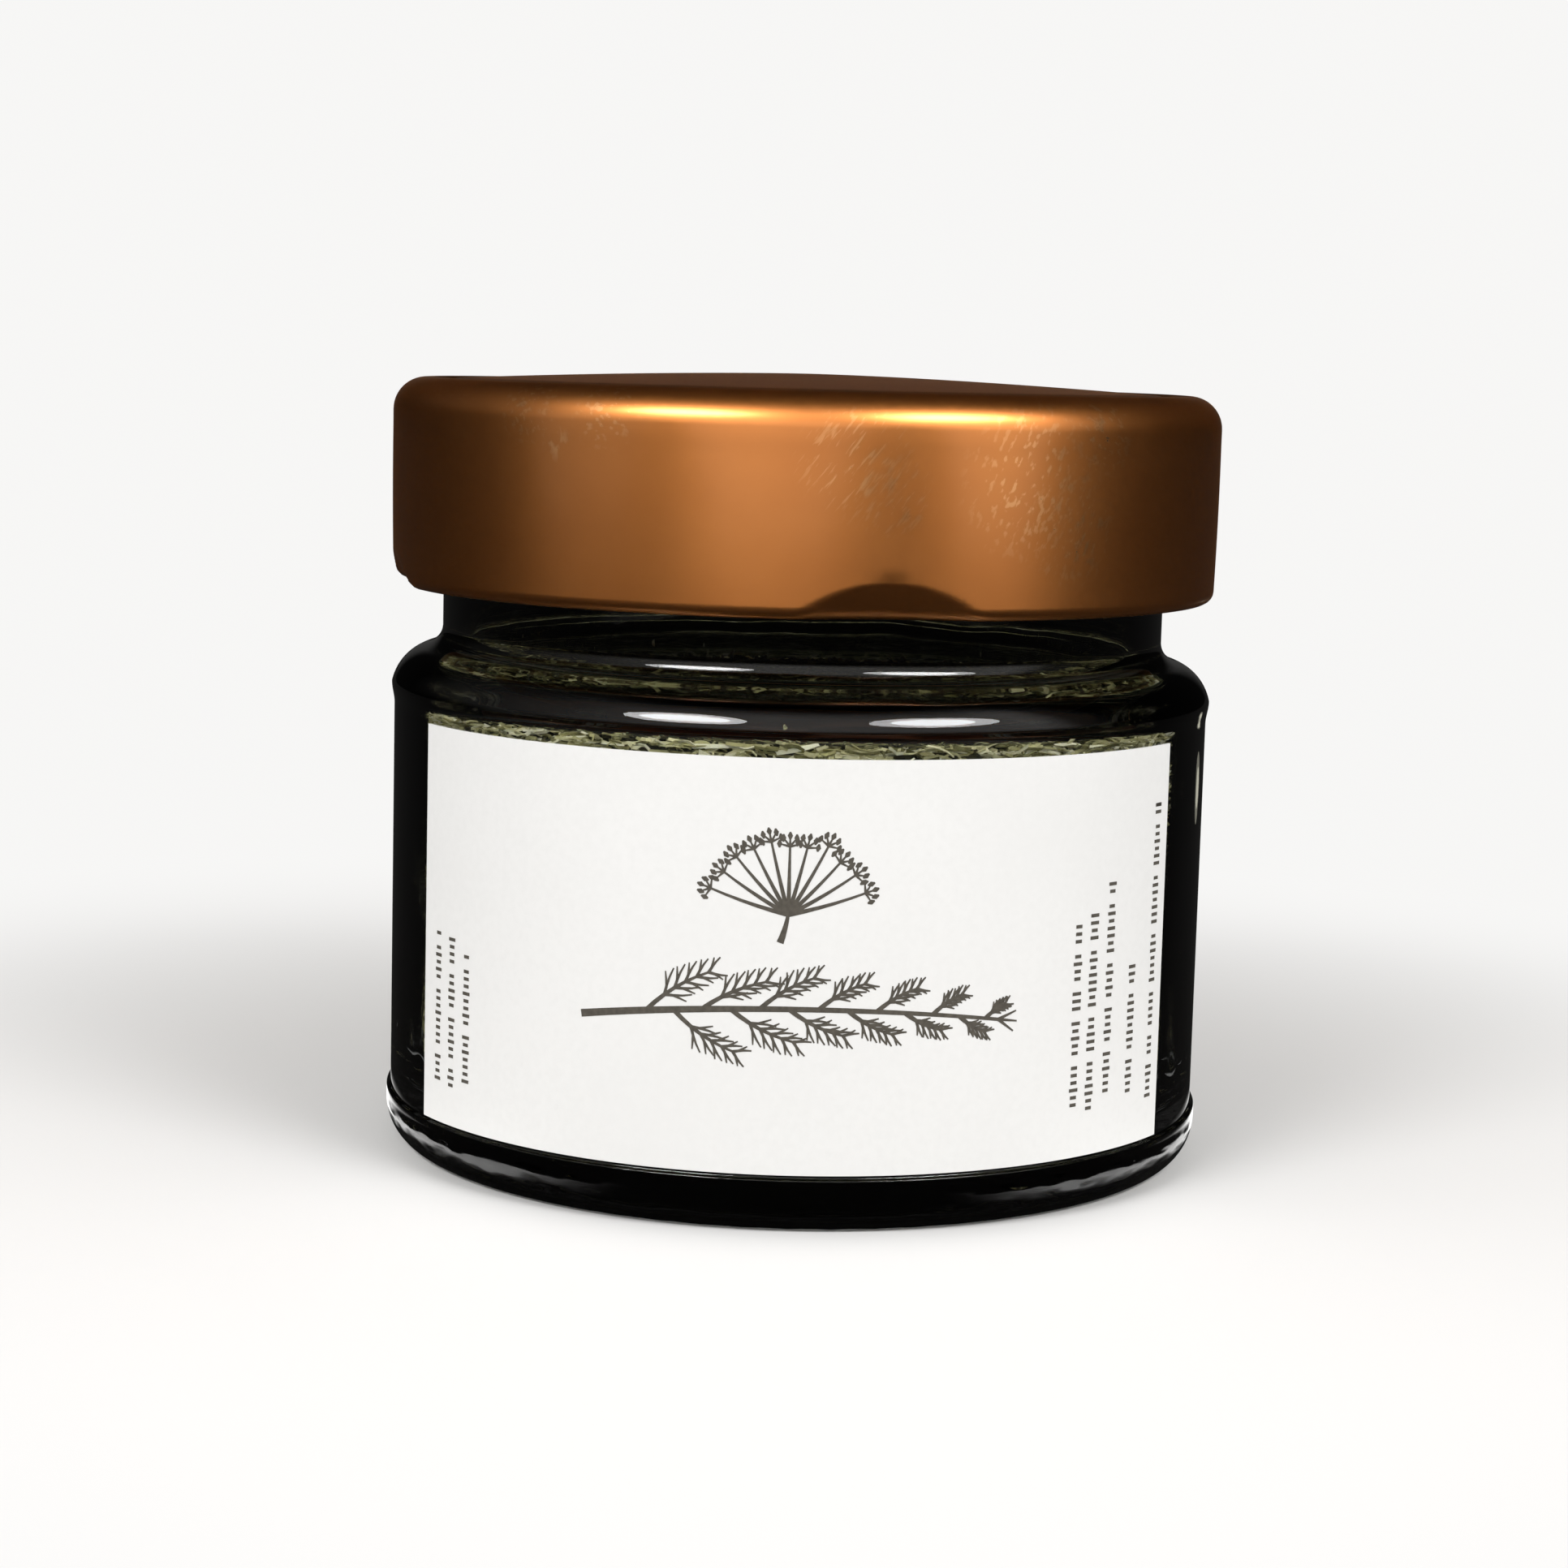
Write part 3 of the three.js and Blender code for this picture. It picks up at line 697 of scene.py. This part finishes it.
for azimuth, height, reach, lean, fineness, stretch in MARKS:
    patch = put(tree, "ShaderNodeGroup", {
        "Vector": where, "Centre": on_lid_side(azimuth, height), "Radius": reach * MM,
        "Turn": (0, radians(lean), 0), "Fineness": fineness, "Stretch": (1, 1, stretch),
    }, node_tree=scuffs)
    marks = maths(tree, "MAXIMUM", marks, patch.outputs[0])
tone = blend(tree, cloud, LID_COPPER_DEEP, LID_COPPER)
radius = length_of(tree, vector_maths(tree, "MULTIPLY", where, (1, 1, 0)))
# painted shade: the lacquer darkened in the groove round the top panel
tone = blend(tree, plateau(tree, radius, GROOVE_SHADE), tone, GROOVE_PAINTED_SHADE)
colour = blend(tree, maths(tree, "MULTIPLY", marks, MARK_TINT), tone, LID_MARKED)
base_rough = put(tree, "ShaderNodeMapRange", {
    "Value": fleck, "To Min": LACQUER_ROUGH[0], "To Max": LACQUER_ROUGH[1],
}).outputs[0]
rough = maths(tree, "MULTIPLY_ADD", marks, MARK_POLISH, base_rough)
bump = put(tree, "ShaderNodeBump", {"Height": fleck, "Strength": 0.08, "Distance": 0.00003})
body = put(tree, "ShaderNodeBsdfPrincipled", {
    "Base Color": colour, "Roughness": rough, "Metallic": 1.0,
    "Coat Weight": 0.3, "Coat Roughness": 0.15, "Normal": bump.outputs[0],
})
put(tree, "ShaderNodeOutputMaterial", {"Surface": body.outputs[0]})

lid = finished(lid_bm, "copper_lid", lacquer)
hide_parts("lid")
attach(lid, "lid")
lid_alone.objects.link(lid)


# ---------------------------------------------------------------- sealing ring
# A soft ring of cream sealing compound, flowed in under the lid's top, where it
# presses on the rim of the glass.

ring_low, ring_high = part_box("lid_gasket")
RING_INNER = 24.4 * MM
RING_OUTER = ring_high.x
RING_STEPS = 144
ring_r = (RING_INNER + RING_OUTER) / 2
ring_z = (ring_low.z + ring_high.z) / 2
ring_outline = arc(ring_r, ring_z, RING_OUTER - ring_r, ring_high.z - ring_z, 0, 360, 24)
ring_bm = spun(ring_outline, RING_STEPS)

compound = bpy.data.materials.new("sealing_compound")
tree = node_tree(compound)
where = put(tree, "ShaderNodeTexCoord").outputs["Object"]
skin = clouds(tree, where, 400, 3)
colour = ramp(tree, skin, [(0.3, (0.72, 0.68, 0.56, 1)), (0.7, (0.84, 0.81, 0.72, 1))])
bump = put(tree, "ShaderNodeBump", {"Height": skin, "Strength": 0.2, "Distance": 0.0001})
body = put(tree, "ShaderNodeBsdfPrincipled", {
    "Base Color": colour, "Roughness": 0.5, "Metallic": 0.0, "Normal": bump.outputs[0],
})
put(tree, "ShaderNodeOutputMaterial", {"Surface": body.outputs[0]})

ring = finished(ring_bm, "sealing_ring", compound)
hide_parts("lid_gasket")
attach(ring, "lid_lift")


# ---------------------------------------------------------------- label
# White self-adhesive paper, smoothed round the front of the label panel. It is
# cut square, and its edge is a clean cut.

label_low, label_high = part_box("label")
LABEL_R = PANEL_R + 0.07 * MM
LABEL_THICK = 0.15 * MM
LABEL_HALF = radians(59)
LABEL_BOTTOM, LABEL_TOP = label_low.z, label_high.z
LABEL_FACE = LABEL_R + LABEL_THICK
LABEL_STEPS = (96, 12)  # along and up
PAPER_TONES = [(0.12, (0.755, 0.75, 0.74, 1)), (0.35, (0.78, 0.775, 0.765, 1))]


def wrap(bm, radius):
    """Bends a flat piece, x along the arc and z up, round the jar; y is the depth inwards."""
    for v in bm.verts:
        r = radius - v.co.y
        a = v.co.x / radius
        v.co = Vector((r * sin(a), -r * cos(a), v.co.z))


label_bm = bmesh.new()
bmesh.ops.create_grid(label_bm, x_segments=LABEL_STEPS[0], y_segments=LABEL_STEPS[1], size=0.5)
width = 2 * LABEL_HALF * LABEL_FACE
height = LABEL_TOP - LABEL_BOTTOM
for v in label_bm.verts:
    v.co = Vector((v.co.x * width, 0, (LABEL_BOTTOM + LABEL_TOP) / 2 + v.co.y * height))
bmesh.ops.recalc_face_normals(label_bm, faces=label_bm.faces)
shell = bmesh.ops.extrude_face_region(label_bm, geom=label_bm.faces[:])
back = [g for g in shell["geom"] if isinstance(g, bmesh.types.BMVert)]
bmesh.ops.translate(label_bm, vec=(0, LABEL_THICK, 0), verts=back)
bmesh.ops.recalc_face_normals(label_bm, faces=label_bm.faces)
wrap(label_bm, LABEL_FACE)

paper = bpy.data.materials.new("label_paper")
tree = node_tree(paper)
where = put(tree, "ShaderNodeTexCoord").outputs["Object"]
fibre = clouds(tree, where, 1800, 5)
mottle = maths(tree, "MULTIPLY", fibre, clouds(tree, where, 60, 2))
colour = ramp(tree, mottle, PAPER_TONES)
bump = put(tree, "ShaderNodeBump", {"Height": fibre, "Strength": 0.25, "Distance": 0.00003})
body = put(tree, "ShaderNodeBsdfPrincipled", {
    "Base Color": colour, "Roughness": 0.62, "Metallic": 0.0, "Normal": bump.outputs[0],
})
put(tree, "ShaderNodeOutputMaterial", {"Surface": body.outputs[0]})

label = finished(label_bm, "paper_label", paper, smooth=False)
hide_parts("label")
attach(label, "jar")
label_alone.objects.link(label)


# ---------------------------------------------------------------- label art
# Thin dark ink on the label: a seed head of dill above, a long sprig across the
# middle, and columns of short ticks near both ends. Places are degrees round the
# jar and millimetres up.

INK_RISE = 0.02 * MM  # how far the ink's face stands off the paper
INK_THICK = 0.015 * MM
INK_TONES = [(0.3, (0.062, 0.054, 0.042, 1)), (0.75, (0.10, 0.088, 0.07, 1))]
LEAF_TAPER = 0.55  # how much of a line's width is gone at its tip
TICK = Vector((0.24, 0.80)) * MM
TICK_SHORT = 0.72  # the length of the shorter ticks, as a share of the longer
TICK_STEP = 0.52 * MM
TICK_COLUMNS = [  # azimuth, lowest, highest
    (-55.1, 6.8, 17.4), (-51.7, 6.6, 18.0), (-48.3, 7.2, 16.2),
    (39.9, 7.4, 20.4), (42.8, 7.0, 21.4), (46.1, 8.0, 23.4), (51.1, 7.6, 17.0), (56.3, 6.8, 28.4),
]
ART_SEED = 411
ink_draw = np.random.default_rng(ART_SEED)
ink_bm = bmesh.new()


def bar(points, widths):
    """A flat ink line through (x, z) points, x along the label, with a width at each."""
    steps = len(points) - 1
    places = [Vector(p) for p in points]
    strip = bmesh.ops.create_grid(ink_bm, x_segments=steps, y_segments=1, size=0.5)
    for v in strip["verts"]:
        i = round((v.co.x + 0.5) * steps)
        ahead = (places[min(i + 1, steps)] - places[max(i - 1, 0)]).normalized()
        across = Vector((-ahead.y, ahead.x)) * v.co.y * widths[i]
        place = places[i] + across
        v.co = (place.x, 0, place.y)


def leaf(root, heading, length, width, droop, steps=5):
    """A curved, tapering line; returns its points and the heading at its end."""
    points = [Vector(root)]
    for _ in range(steps):
        heading += droop / steps
        points.append(points[-1] + Vector((cos(heading), sin(heading))) * length / steps)
    bar(points, [width * (1 - LEAF_TAPER * i / steps) for i in range(steps + 1)])
    return points, heading


# the sprig: one stalk, side stalks by turns, and thin threads of leaf on each
sprig_root = Vector((-14.8, 14.2)) * MM
stalk, tip_heading = leaf(sprig_root, radians(10), 29.4 * MM, 0.52 * MM, radians(-18), 30)
for i in range(5, 30, 2):
    hand = 1 if i % 4 == 1 else -1
    share = 1 - i / 34
    reach = (5.4 * share + 1.0) * ink_draw.uniform(0.92, 1.05) * MM
    heading = radians(hand * ink_draw.uniform(40, 50))
    branch, _ = leaf(stalk[i], heading, reach, 0.34 * MM, radians(-hand * 26), 6)
    for k in range(2, 7):
        for fork in (1, -1):
            turn = radians(hand * (42 - 3 * k)) + radians(fork * ink_draw.uniform(34, 46))
            thread_long = reach * 0.30 * (1.15 - 0.1 * k) + 0.45 * MM
            thread_leaf, turn = leaf(branch[k], turn, thread_long, 0.22 * MM, radians(-fork * 16), 3)
            leaf(thread_leaf[1], turn + radians(fork * 30), thread_long * 0.5, 0.19 * MM, 0, 2)
for fork in (-1, 0, 1):
    leaf(stalk[-1], tip_heading + radians(28 * fork), 1.5 * MM, 0.24 * MM, 0, 3)

# the seed head: a short stem, spokes, and a small umbel of seeds on each spoke
hub = Vector((-0.4, 21.9)) * MM
leaf(hub - Vector((0.5, 1.9)) * MM, radians(68), 1.95 * MM, 0.48 * MM, radians(12), 4)
for spoke in range(11):
    heading = radians(12 + 156 * spoke / 10)
    reach = (4.9 + 0.5 * abs(cos(heading))) * ink_draw.uniform(0.92, 1.04) * MM
    spoke_line, heading = leaf(hub, heading, reach, 0.32 * MM, radians(8 * cos(heading)), 5)
    for ray_turn in range(-2, 3):
        seed_line, _ = leaf(spoke_line[-1], heading + radians(38 * ray_turn), 0.72 * MM, 0.18 * MM, 0, 2)
        lean = Vector((cos(heading), sin(heading))) * 0.26 * MM
        bar([seed_line[-1] - lean, seed_line[-1], seed_line[-1] + lean], [0.1 * MM, 0.36 * MM, 0.1 * MM])

for azimuth, low, high in TICK_COLUMNS:
    x = radians(azimuth) * LABEL_FACE
    z, word = low * MM, 0
    while z < high * MM:
        if word == 0:
            word = int(ink_draw.integers(3, 9))
            z += TICK_STEP
        reach = TICK.y / 2 * (1.0 if ink_draw.random() < 0.4 else TICK_SHORT)
        bar([(x - reach, z), (x + reach, z)], [TICK.x, TICK.x])
        z += TICK_STEP
        word -= 1
bmesh.ops.solidify(ink_bm, geom=ink_bm.faces[:], thickness=INK_THICK)
bmesh.ops.recalc_face_normals(ink_bm, faces=ink_bm.faces)
wrap(ink_bm, LABEL_FACE + INK_RISE)

ink = bpy.data.materials.new("label_ink")
tree = node_tree(ink)
where = put(tree, "ShaderNodeTexCoord").outputs["Object"]
colour = ramp(tree, clouds(tree, where, 3000, 3), INK_TONES)
body = put(tree, "ShaderNodeBsdfPrincipled", {"Base Color": colour, "Roughness": 0.6, "Metallic": 0.0})
put(tree, "ShaderNodeOutputMaterial", {"Surface": body.outputs[0]})

art = finished(ink_bm, "label_art", ink, smooth=False)
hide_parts("label")
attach(art, "jar")
label_alone.objects.link(art)


# ---------------------------------------------------------------- dried dill
# Rubbed dill: thousands of crumbled threads of leaf, olive to straw, with a few
# pale bits of stalk, packed against the glass round a core painted near-black as
# the shade deep in the pile. The threads carry painted shade in the cavity's lower
# corner and on the loose top, and painted light near the top at the glass.

FILL_TOP = 33.4 * MM  # at the wall, where the shoulder starts
FILL_MOUND = 1.6 * MM  # and how much higher it is in the middle
FILL_CLEARANCE = 0.35 * MM
CORE_DEPTH = 1.5 * MM
CORE_TOP_DEPTH = 1.1 * MM
CORE_STEPS = 180
CORE_WAVES = (900, 2100)
CORE_LUMP = 0.5 * MM
TOP_LAYER = (-1.3, 0.1)  # millimetres up from the mound, which the loose threads lie between
TOP_EDGE = 1.6 * MM  # how far short of the cavity's wall their middles stay
TOP_OVERHANG = 0.4 * MM  # and how far past that their ends may reach
TOP_SHADE = 0.26  # painted shade: they are darker than the rest
TOP_CENTRE_SHADE = 0.6  # and more painted shade, by this share, in the middle
TOP_MIDDLE = (23 * MM, 19 * MM)  # radii that it sets in between
CRUMB_LENGTH = (1.45, 0.42)  # millimetres, the middle one and the spread of their logarithm
CRUMB_LIMITS = (0.7, 3.6)
CRUMB_THICKNESS = (0.22, 0.52)
CRUMB_TONE = (0.5, 0.24)
STALK_SHARE = 0.07
STALK_TONE = 0.85  # the least that a stalk has
WALL_LAYER = 0.9  # millimetres that the threads at the wall are spread through
WALL_CROWD = 1.5  # power that brings more of them near the glass
BOW = (40 * MM, 200 * MM)  # length squared over a thread's bow, in the corner and elsewhere
BOW_ROOM = 1.2  # the bow with some room to spare
CEILING = 0.35 * MM  # how far above the fill a thread's middle may be at the wall
CEILING_DROP = 0.3  # less this share of its length
LEVEL_DEPTH = 3.4 * MM  # how far below the top the threads still lie level
BRIM_DEPTH = 2.2 * MM
CORNER_SHADE = 0.3  # painted shade: how far the threads in the cavity's lower corner are darkened
BRIM_GLEAM = 0.12  # painted light: how much paler the threads are down to the brim's depth
DILL_TONES = [
    (0.0, (0.035, 0.032, 0.010, 1)),
    (0.3, (0.17, 0.157, 0.055, 1)),
    (0.55, (0.42, 0.39, 0.17, 1)),
    (0.8, (0.68, 0.64, 0.37, 1)),
    (1.0, (0.85, 0.82, 0.62, 1)),
]
CORE_SHADE_TONES = [(0.35, (0.018, 0.017, 0.006, 1)), (0.65, (0.09, 0.082, 0.03, 1))]
DILL_SEED = 20263
draw = np.random.default_rng(DILL_SEED)


def fill_top(r):
    """The height of the dill's mounded top."""
    return FILL_TOP + FILL_MOUND * (1 - (r / (BORE_R - FILL_CLEARANCE)) ** 2)


core_tops = [(r * MM, fill_top(r * MM) - CORE_TOP_DEPTH) for r in (24, 18, 12, 6, 0)]
core_outline = body_wall(CORE_DEPTH)[::-1] + [(BORE_R - CORE_DEPTH, FILL_TOP - 1.6 * MM), *core_tops]
core_bm = spun(stretched(core_outline, 0.9 * MM), CORE_STEPS)
for v in core_bm.verts:
    lump = noise.noise(v.co * CORE_WAVES[0]) + 0.6 * noise.noise(v.co * CORE_WAVES[1])
    v.co += v.normal * lump * CORE_LUMP if v.normal.length else Vector()

dill_leaf = bpy.data.materials.new("dried_dill")
tree = node_tree(dill_leaf)
tone = put(tree, "ShaderNodeAttribute", attribute_name="tone").outputs["Fac"]
where = put(tree, "ShaderNodeTexCoord").outputs["Object"]
veins = clouds(tree, where, 2500, 3)
mixed = maths(tree, "MULTIPLY_ADD", maths(tree, "ADD", veins, -0.5), 0.35, tone)
colour = ramp(tree, mixed, DILL_TONES)
bump = put(tree, "ShaderNodeBump", {"Height": veins, "Strength": 0.5, "Distance": 0.0001})
body = put(tree, "ShaderNodeBsdfPrincipled", {
    "Base Color": colour, "Roughness": 0.75, "Metallic": 0.0, "Normal": bump.outputs[0],
})
put(tree, "ShaderNodeOutputMaterial", {"Surface": body.outputs[0]})

# the core is painted near-black, as the shade deep in the packed leaves
core_shade = bpy.data.materials.new("dill_core_shade")
tree = node_tree(core_shade)
where = put(tree, "ShaderNodeTexCoord").outputs["Object"]
colour = ramp(tree, clouds(tree, where, 1500, 4), CORE_SHADE_TONES)
body = put(tree, "ShaderNodeBsdfPrincipled", {"Base Color": colour, "Roughness": 0.9, "Metallic": 0.0})
put(tree, "ShaderNodeOutputMaterial", {"Surface": body.outputs[0]})


def thread(bend, taper, fork=0.0):
    """One crumb of leaf, a unit long on Z and a unit thick: three-sided and bent."""
    bm = bmesh.new()
    bmesh.ops.create_cone(bm, cap_ends=True, segments=3, radius1=0.5, radius2=0.5 * taper, depth=1)
    for cut in (-0.17, 0.17):
        whole = bm.verts[:] + bm.edges[:] + bm.faces[:]
        bmesh.ops.bisect_plane(bm, geom=whole, plane_co=(0, 0, cut), plane_no=(0, 0, 1))
    for v in bm.verts:
        v.co.x += bend * (v.co.z * v.co.z * 4 - 0.5)
        v.co.y += fork * v.co.z ** 3
    bmesh.ops.triangulate(bm, faces=bm.faces[:])
    bm.verts.ensure_lookup_table()
    points = np.array([v.co for v in bm.verts])
    faces = np.array([[v.index for v in f.verts] for f in bm.faces])
    bm.free()
    return points, faces


THREADS = [thread(0.0, 0.6), thread(0.5, 0.8), thread(-0.9, 0.7, 0.8), thread(1.4, 0.5, -1.0)]


def strewn(name, centres, outward, lengths, thicks, tilts, tones, level):
    """Threads laid flat against a surface, as one mesh: some level, the rest turned at random."""
    count = len(centres)
    helper = np.where(np.abs(outward[:, 2:3]) > 0.9, [[1.0, 0, 0]], [[0, 0, 1.0]])
    side = np.cross(helper, outward)
    side /= np.linalg.norm(side, axis=1, keepdims=True)
    over = np.cross(outward, side)
    spin = np.where(level, draw.normal(0, 0.25, count), draw.uniform(0, 2 * pi, count))[:, None]
    flat = side * np.cos(spin) + over * np.sin(spin)
    along = flat * np.cos(tilts)[:, None] + outward * np.sin(tilts)[:, None]
    x_axis = np.cross(along, outward)
    x_axis /= np.linalg.norm(x_axis, axis=1, keepdims=True)
    roll = draw.uniform(0, 2 * pi, (count, 1))
    y_axis = np.cross(along, x_axis)
    x_turned = x_axis * np.cos(roll) + y_axis * np.sin(roll)
    y_turned = np.cross(along, x_turned)
    kinds = draw.integers(0, len(THREADS), count)
    all_points, all_faces, all_tones, start = [], [], [], 0
    for kind, (points, faces) in enumerate(THREADS):
        chosen = kinds == kind
        n = int(chosen.sum())
        x, y, z = points.T
        place = (
            centres[chosen][:, None]
            + x_turned[chosen][:, None] * (x[None, :, None] * thicks[chosen][:, None, None])
            + y_turned[chosen][:, None] * (y[None, :, None] * thicks[chosen][:, None, None])
            + along[chosen][:, None] * (z[None, :, None] * lengths[chosen][:, None, None])
        )
        all_points.append(place.reshape(-1, 3))
        offsets = start + np.arange(n) * len(points)
        all_faces.append((faces[None] + offsets[:, None, None]).reshape(-1, 3))
        all_tones.append(np.repeat(tones[chosen], len(points)))
        start += n * len(points)
    mesh = bpy.data.meshes.new(name)
    mesh.from_pydata(np.concatenate(all_points), [], np.concatenate(all_faces))
    tone_layer = mesh.attributes.new("tone", "FLOAT", "POINT")
    tone_layer.data.foreach_set("value", np.concatenate(all_tones).astype(np.float32))
    mesh.materials.append(dill_leaf)
    piece = bpy.data.objects.new(name, mesh)
    scene.collection.objects.link(piece)
    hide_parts("dill_weed")
    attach(piece, "jar")


def thread_sizes(count):
    """Lengths, thicknesses and tones, with a few bits of pale stalk among them."""
    middle, spread = CRUMB_LENGTH
    lengths = draw.lognormal(np.log(middle), spread, count).clip(*CRUMB_LIMITS) * MM
    thicks = draw.uniform(*CRUMB_THICKNESS, count) * MM
    tones = draw.normal(*CRUMB_TONE, count).clip(0.02, 0.95)
    stalks = draw.random(count) < STALK_SHARE
    tones[stalks] = draw.uniform(STALK_TONE, 1.0, stalks.sum())
    thicks[stalks] *= 1.25
    return lengths, thicks, tones


def against_wall(name, count, low, high):
    """Threads against the glass, between two heights or on the floor."""
    route = np.array(stretched([(BORE_R, FILL_TOP - 0.3 * MM), *body_wall(0)], 0.2 * MM))
    steps = np.diff(route, axis=0)
    runs = np.hypot(*steps.T)
    normals = np.stack([steps[:, 1], -steps[:, 0]], axis=1) / runs[:, None]
    middles = (route[1:] + route[:-1]) / 2
    keep = (middles[:, 1] >= low) & (middles[:, 1] < high)
    weight = runs * middles[:, 0] * keep
    pick = draw.choice(len(runs), count, p=weight / weight.sum())
    r, z = middles[pick].T
    inward_r, inward_z = normals[pick].T
    lengths, thicks, tones = thread_sizes(count)
    tilts = draw.normal(0, 0.16, count).clip(-0.5, 0.5)
    corner = (z < FLOOR_TOP + INNER_HEEL) & (z > FLOOR_TOP + 0.2 * MM)
    bulge = lengths ** 2 / np.where(corner, *BOW) * BOW_ROOM
    sunk = lengths / 2 * np.abs(np.sin(tilts)) + bulge
    depth = FILL_CLEARANCE + thicks + sunk + draw.uniform(0, WALL_LAYER, count) ** WALL_CROWD * MM
    r = r + inward_r * depth
    z = np.minimum(z + inward_z * depth, FILL_TOP + CEILING - CEILING_DROP * lengths)
    a = draw.uniform(0, 2 * pi, count)
    centres = np.stack([r * np.sin(a), -r * np.cos(a), z], axis=1)
    outward = np.stack([-inward_r * np.sin(a), inward_r * np.cos(a), -inward_z], axis=1)
    # painted shade on the threads in the cavity's lower corner
    tones = np.where(corner & (tones < STALK_TONE), tones * CORNER_SHADE, tones)
    # painted light on the threads near the top of the fill, at the glass
    tones += BRIM_GLEAM * (z > FILL_TOP - BRIM_DEPTH)
    strewn(name, centres, outward, lengths, thicks, tilts, tones, z > FILL_TOP - LEVEL_DEPTH)


def on_top(name, count):
    """Loose threads on the mounded top, some a little raised."""
    reach = BORE_R - FILL_CLEARANCE - TOP_EDGE
    r = reach * np.sqrt(draw.random(count))
    a = draw.uniform(0, 2 * pi, count)
    z = fill_top(r) + draw.uniform(*TOP_LAYER, count) * MM
    centres = np.stack([r * np.cos(a), r * np.sin(a), z], axis=1)
    outward = np.tile([[0.0, 0.0, 1.0]], (count, 1))
    lengths, thicks, tones = thread_sizes(count)
    lengths = np.minimum(lengths, 2 * (reach + TOP_OVERHANG - r))
    tilts = draw.normal(0, 0.2, count).clip(-0.3, 0.3)
    middle = np.interp(r, TOP_MIDDLE[::-1], (1, 0))
    # painted shade on the loose top, deepest in the middle
    tones = tones * (1 - TOP_CENTRE_SHADE * middle) - TOP_SHADE
    strewn(name, centres, outward, lengths, thicks, tilts, tones, np.zeros(count, bool))


core = finished(core_bm, "dill_core", core_shade)
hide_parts("dill_weed")
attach(core, "jar")
against_wall("dill_floor", 4500, 0, FLOOR_TOP + 0.3 * MM)
against_wall("dill_lower", 8500, FLOOR_TOP + 0.3 * MM, 20 * MM)
against_wall("dill_upper", 9000, 20 * MM, FILL_TOP)
on_top("dill_top", 6500)
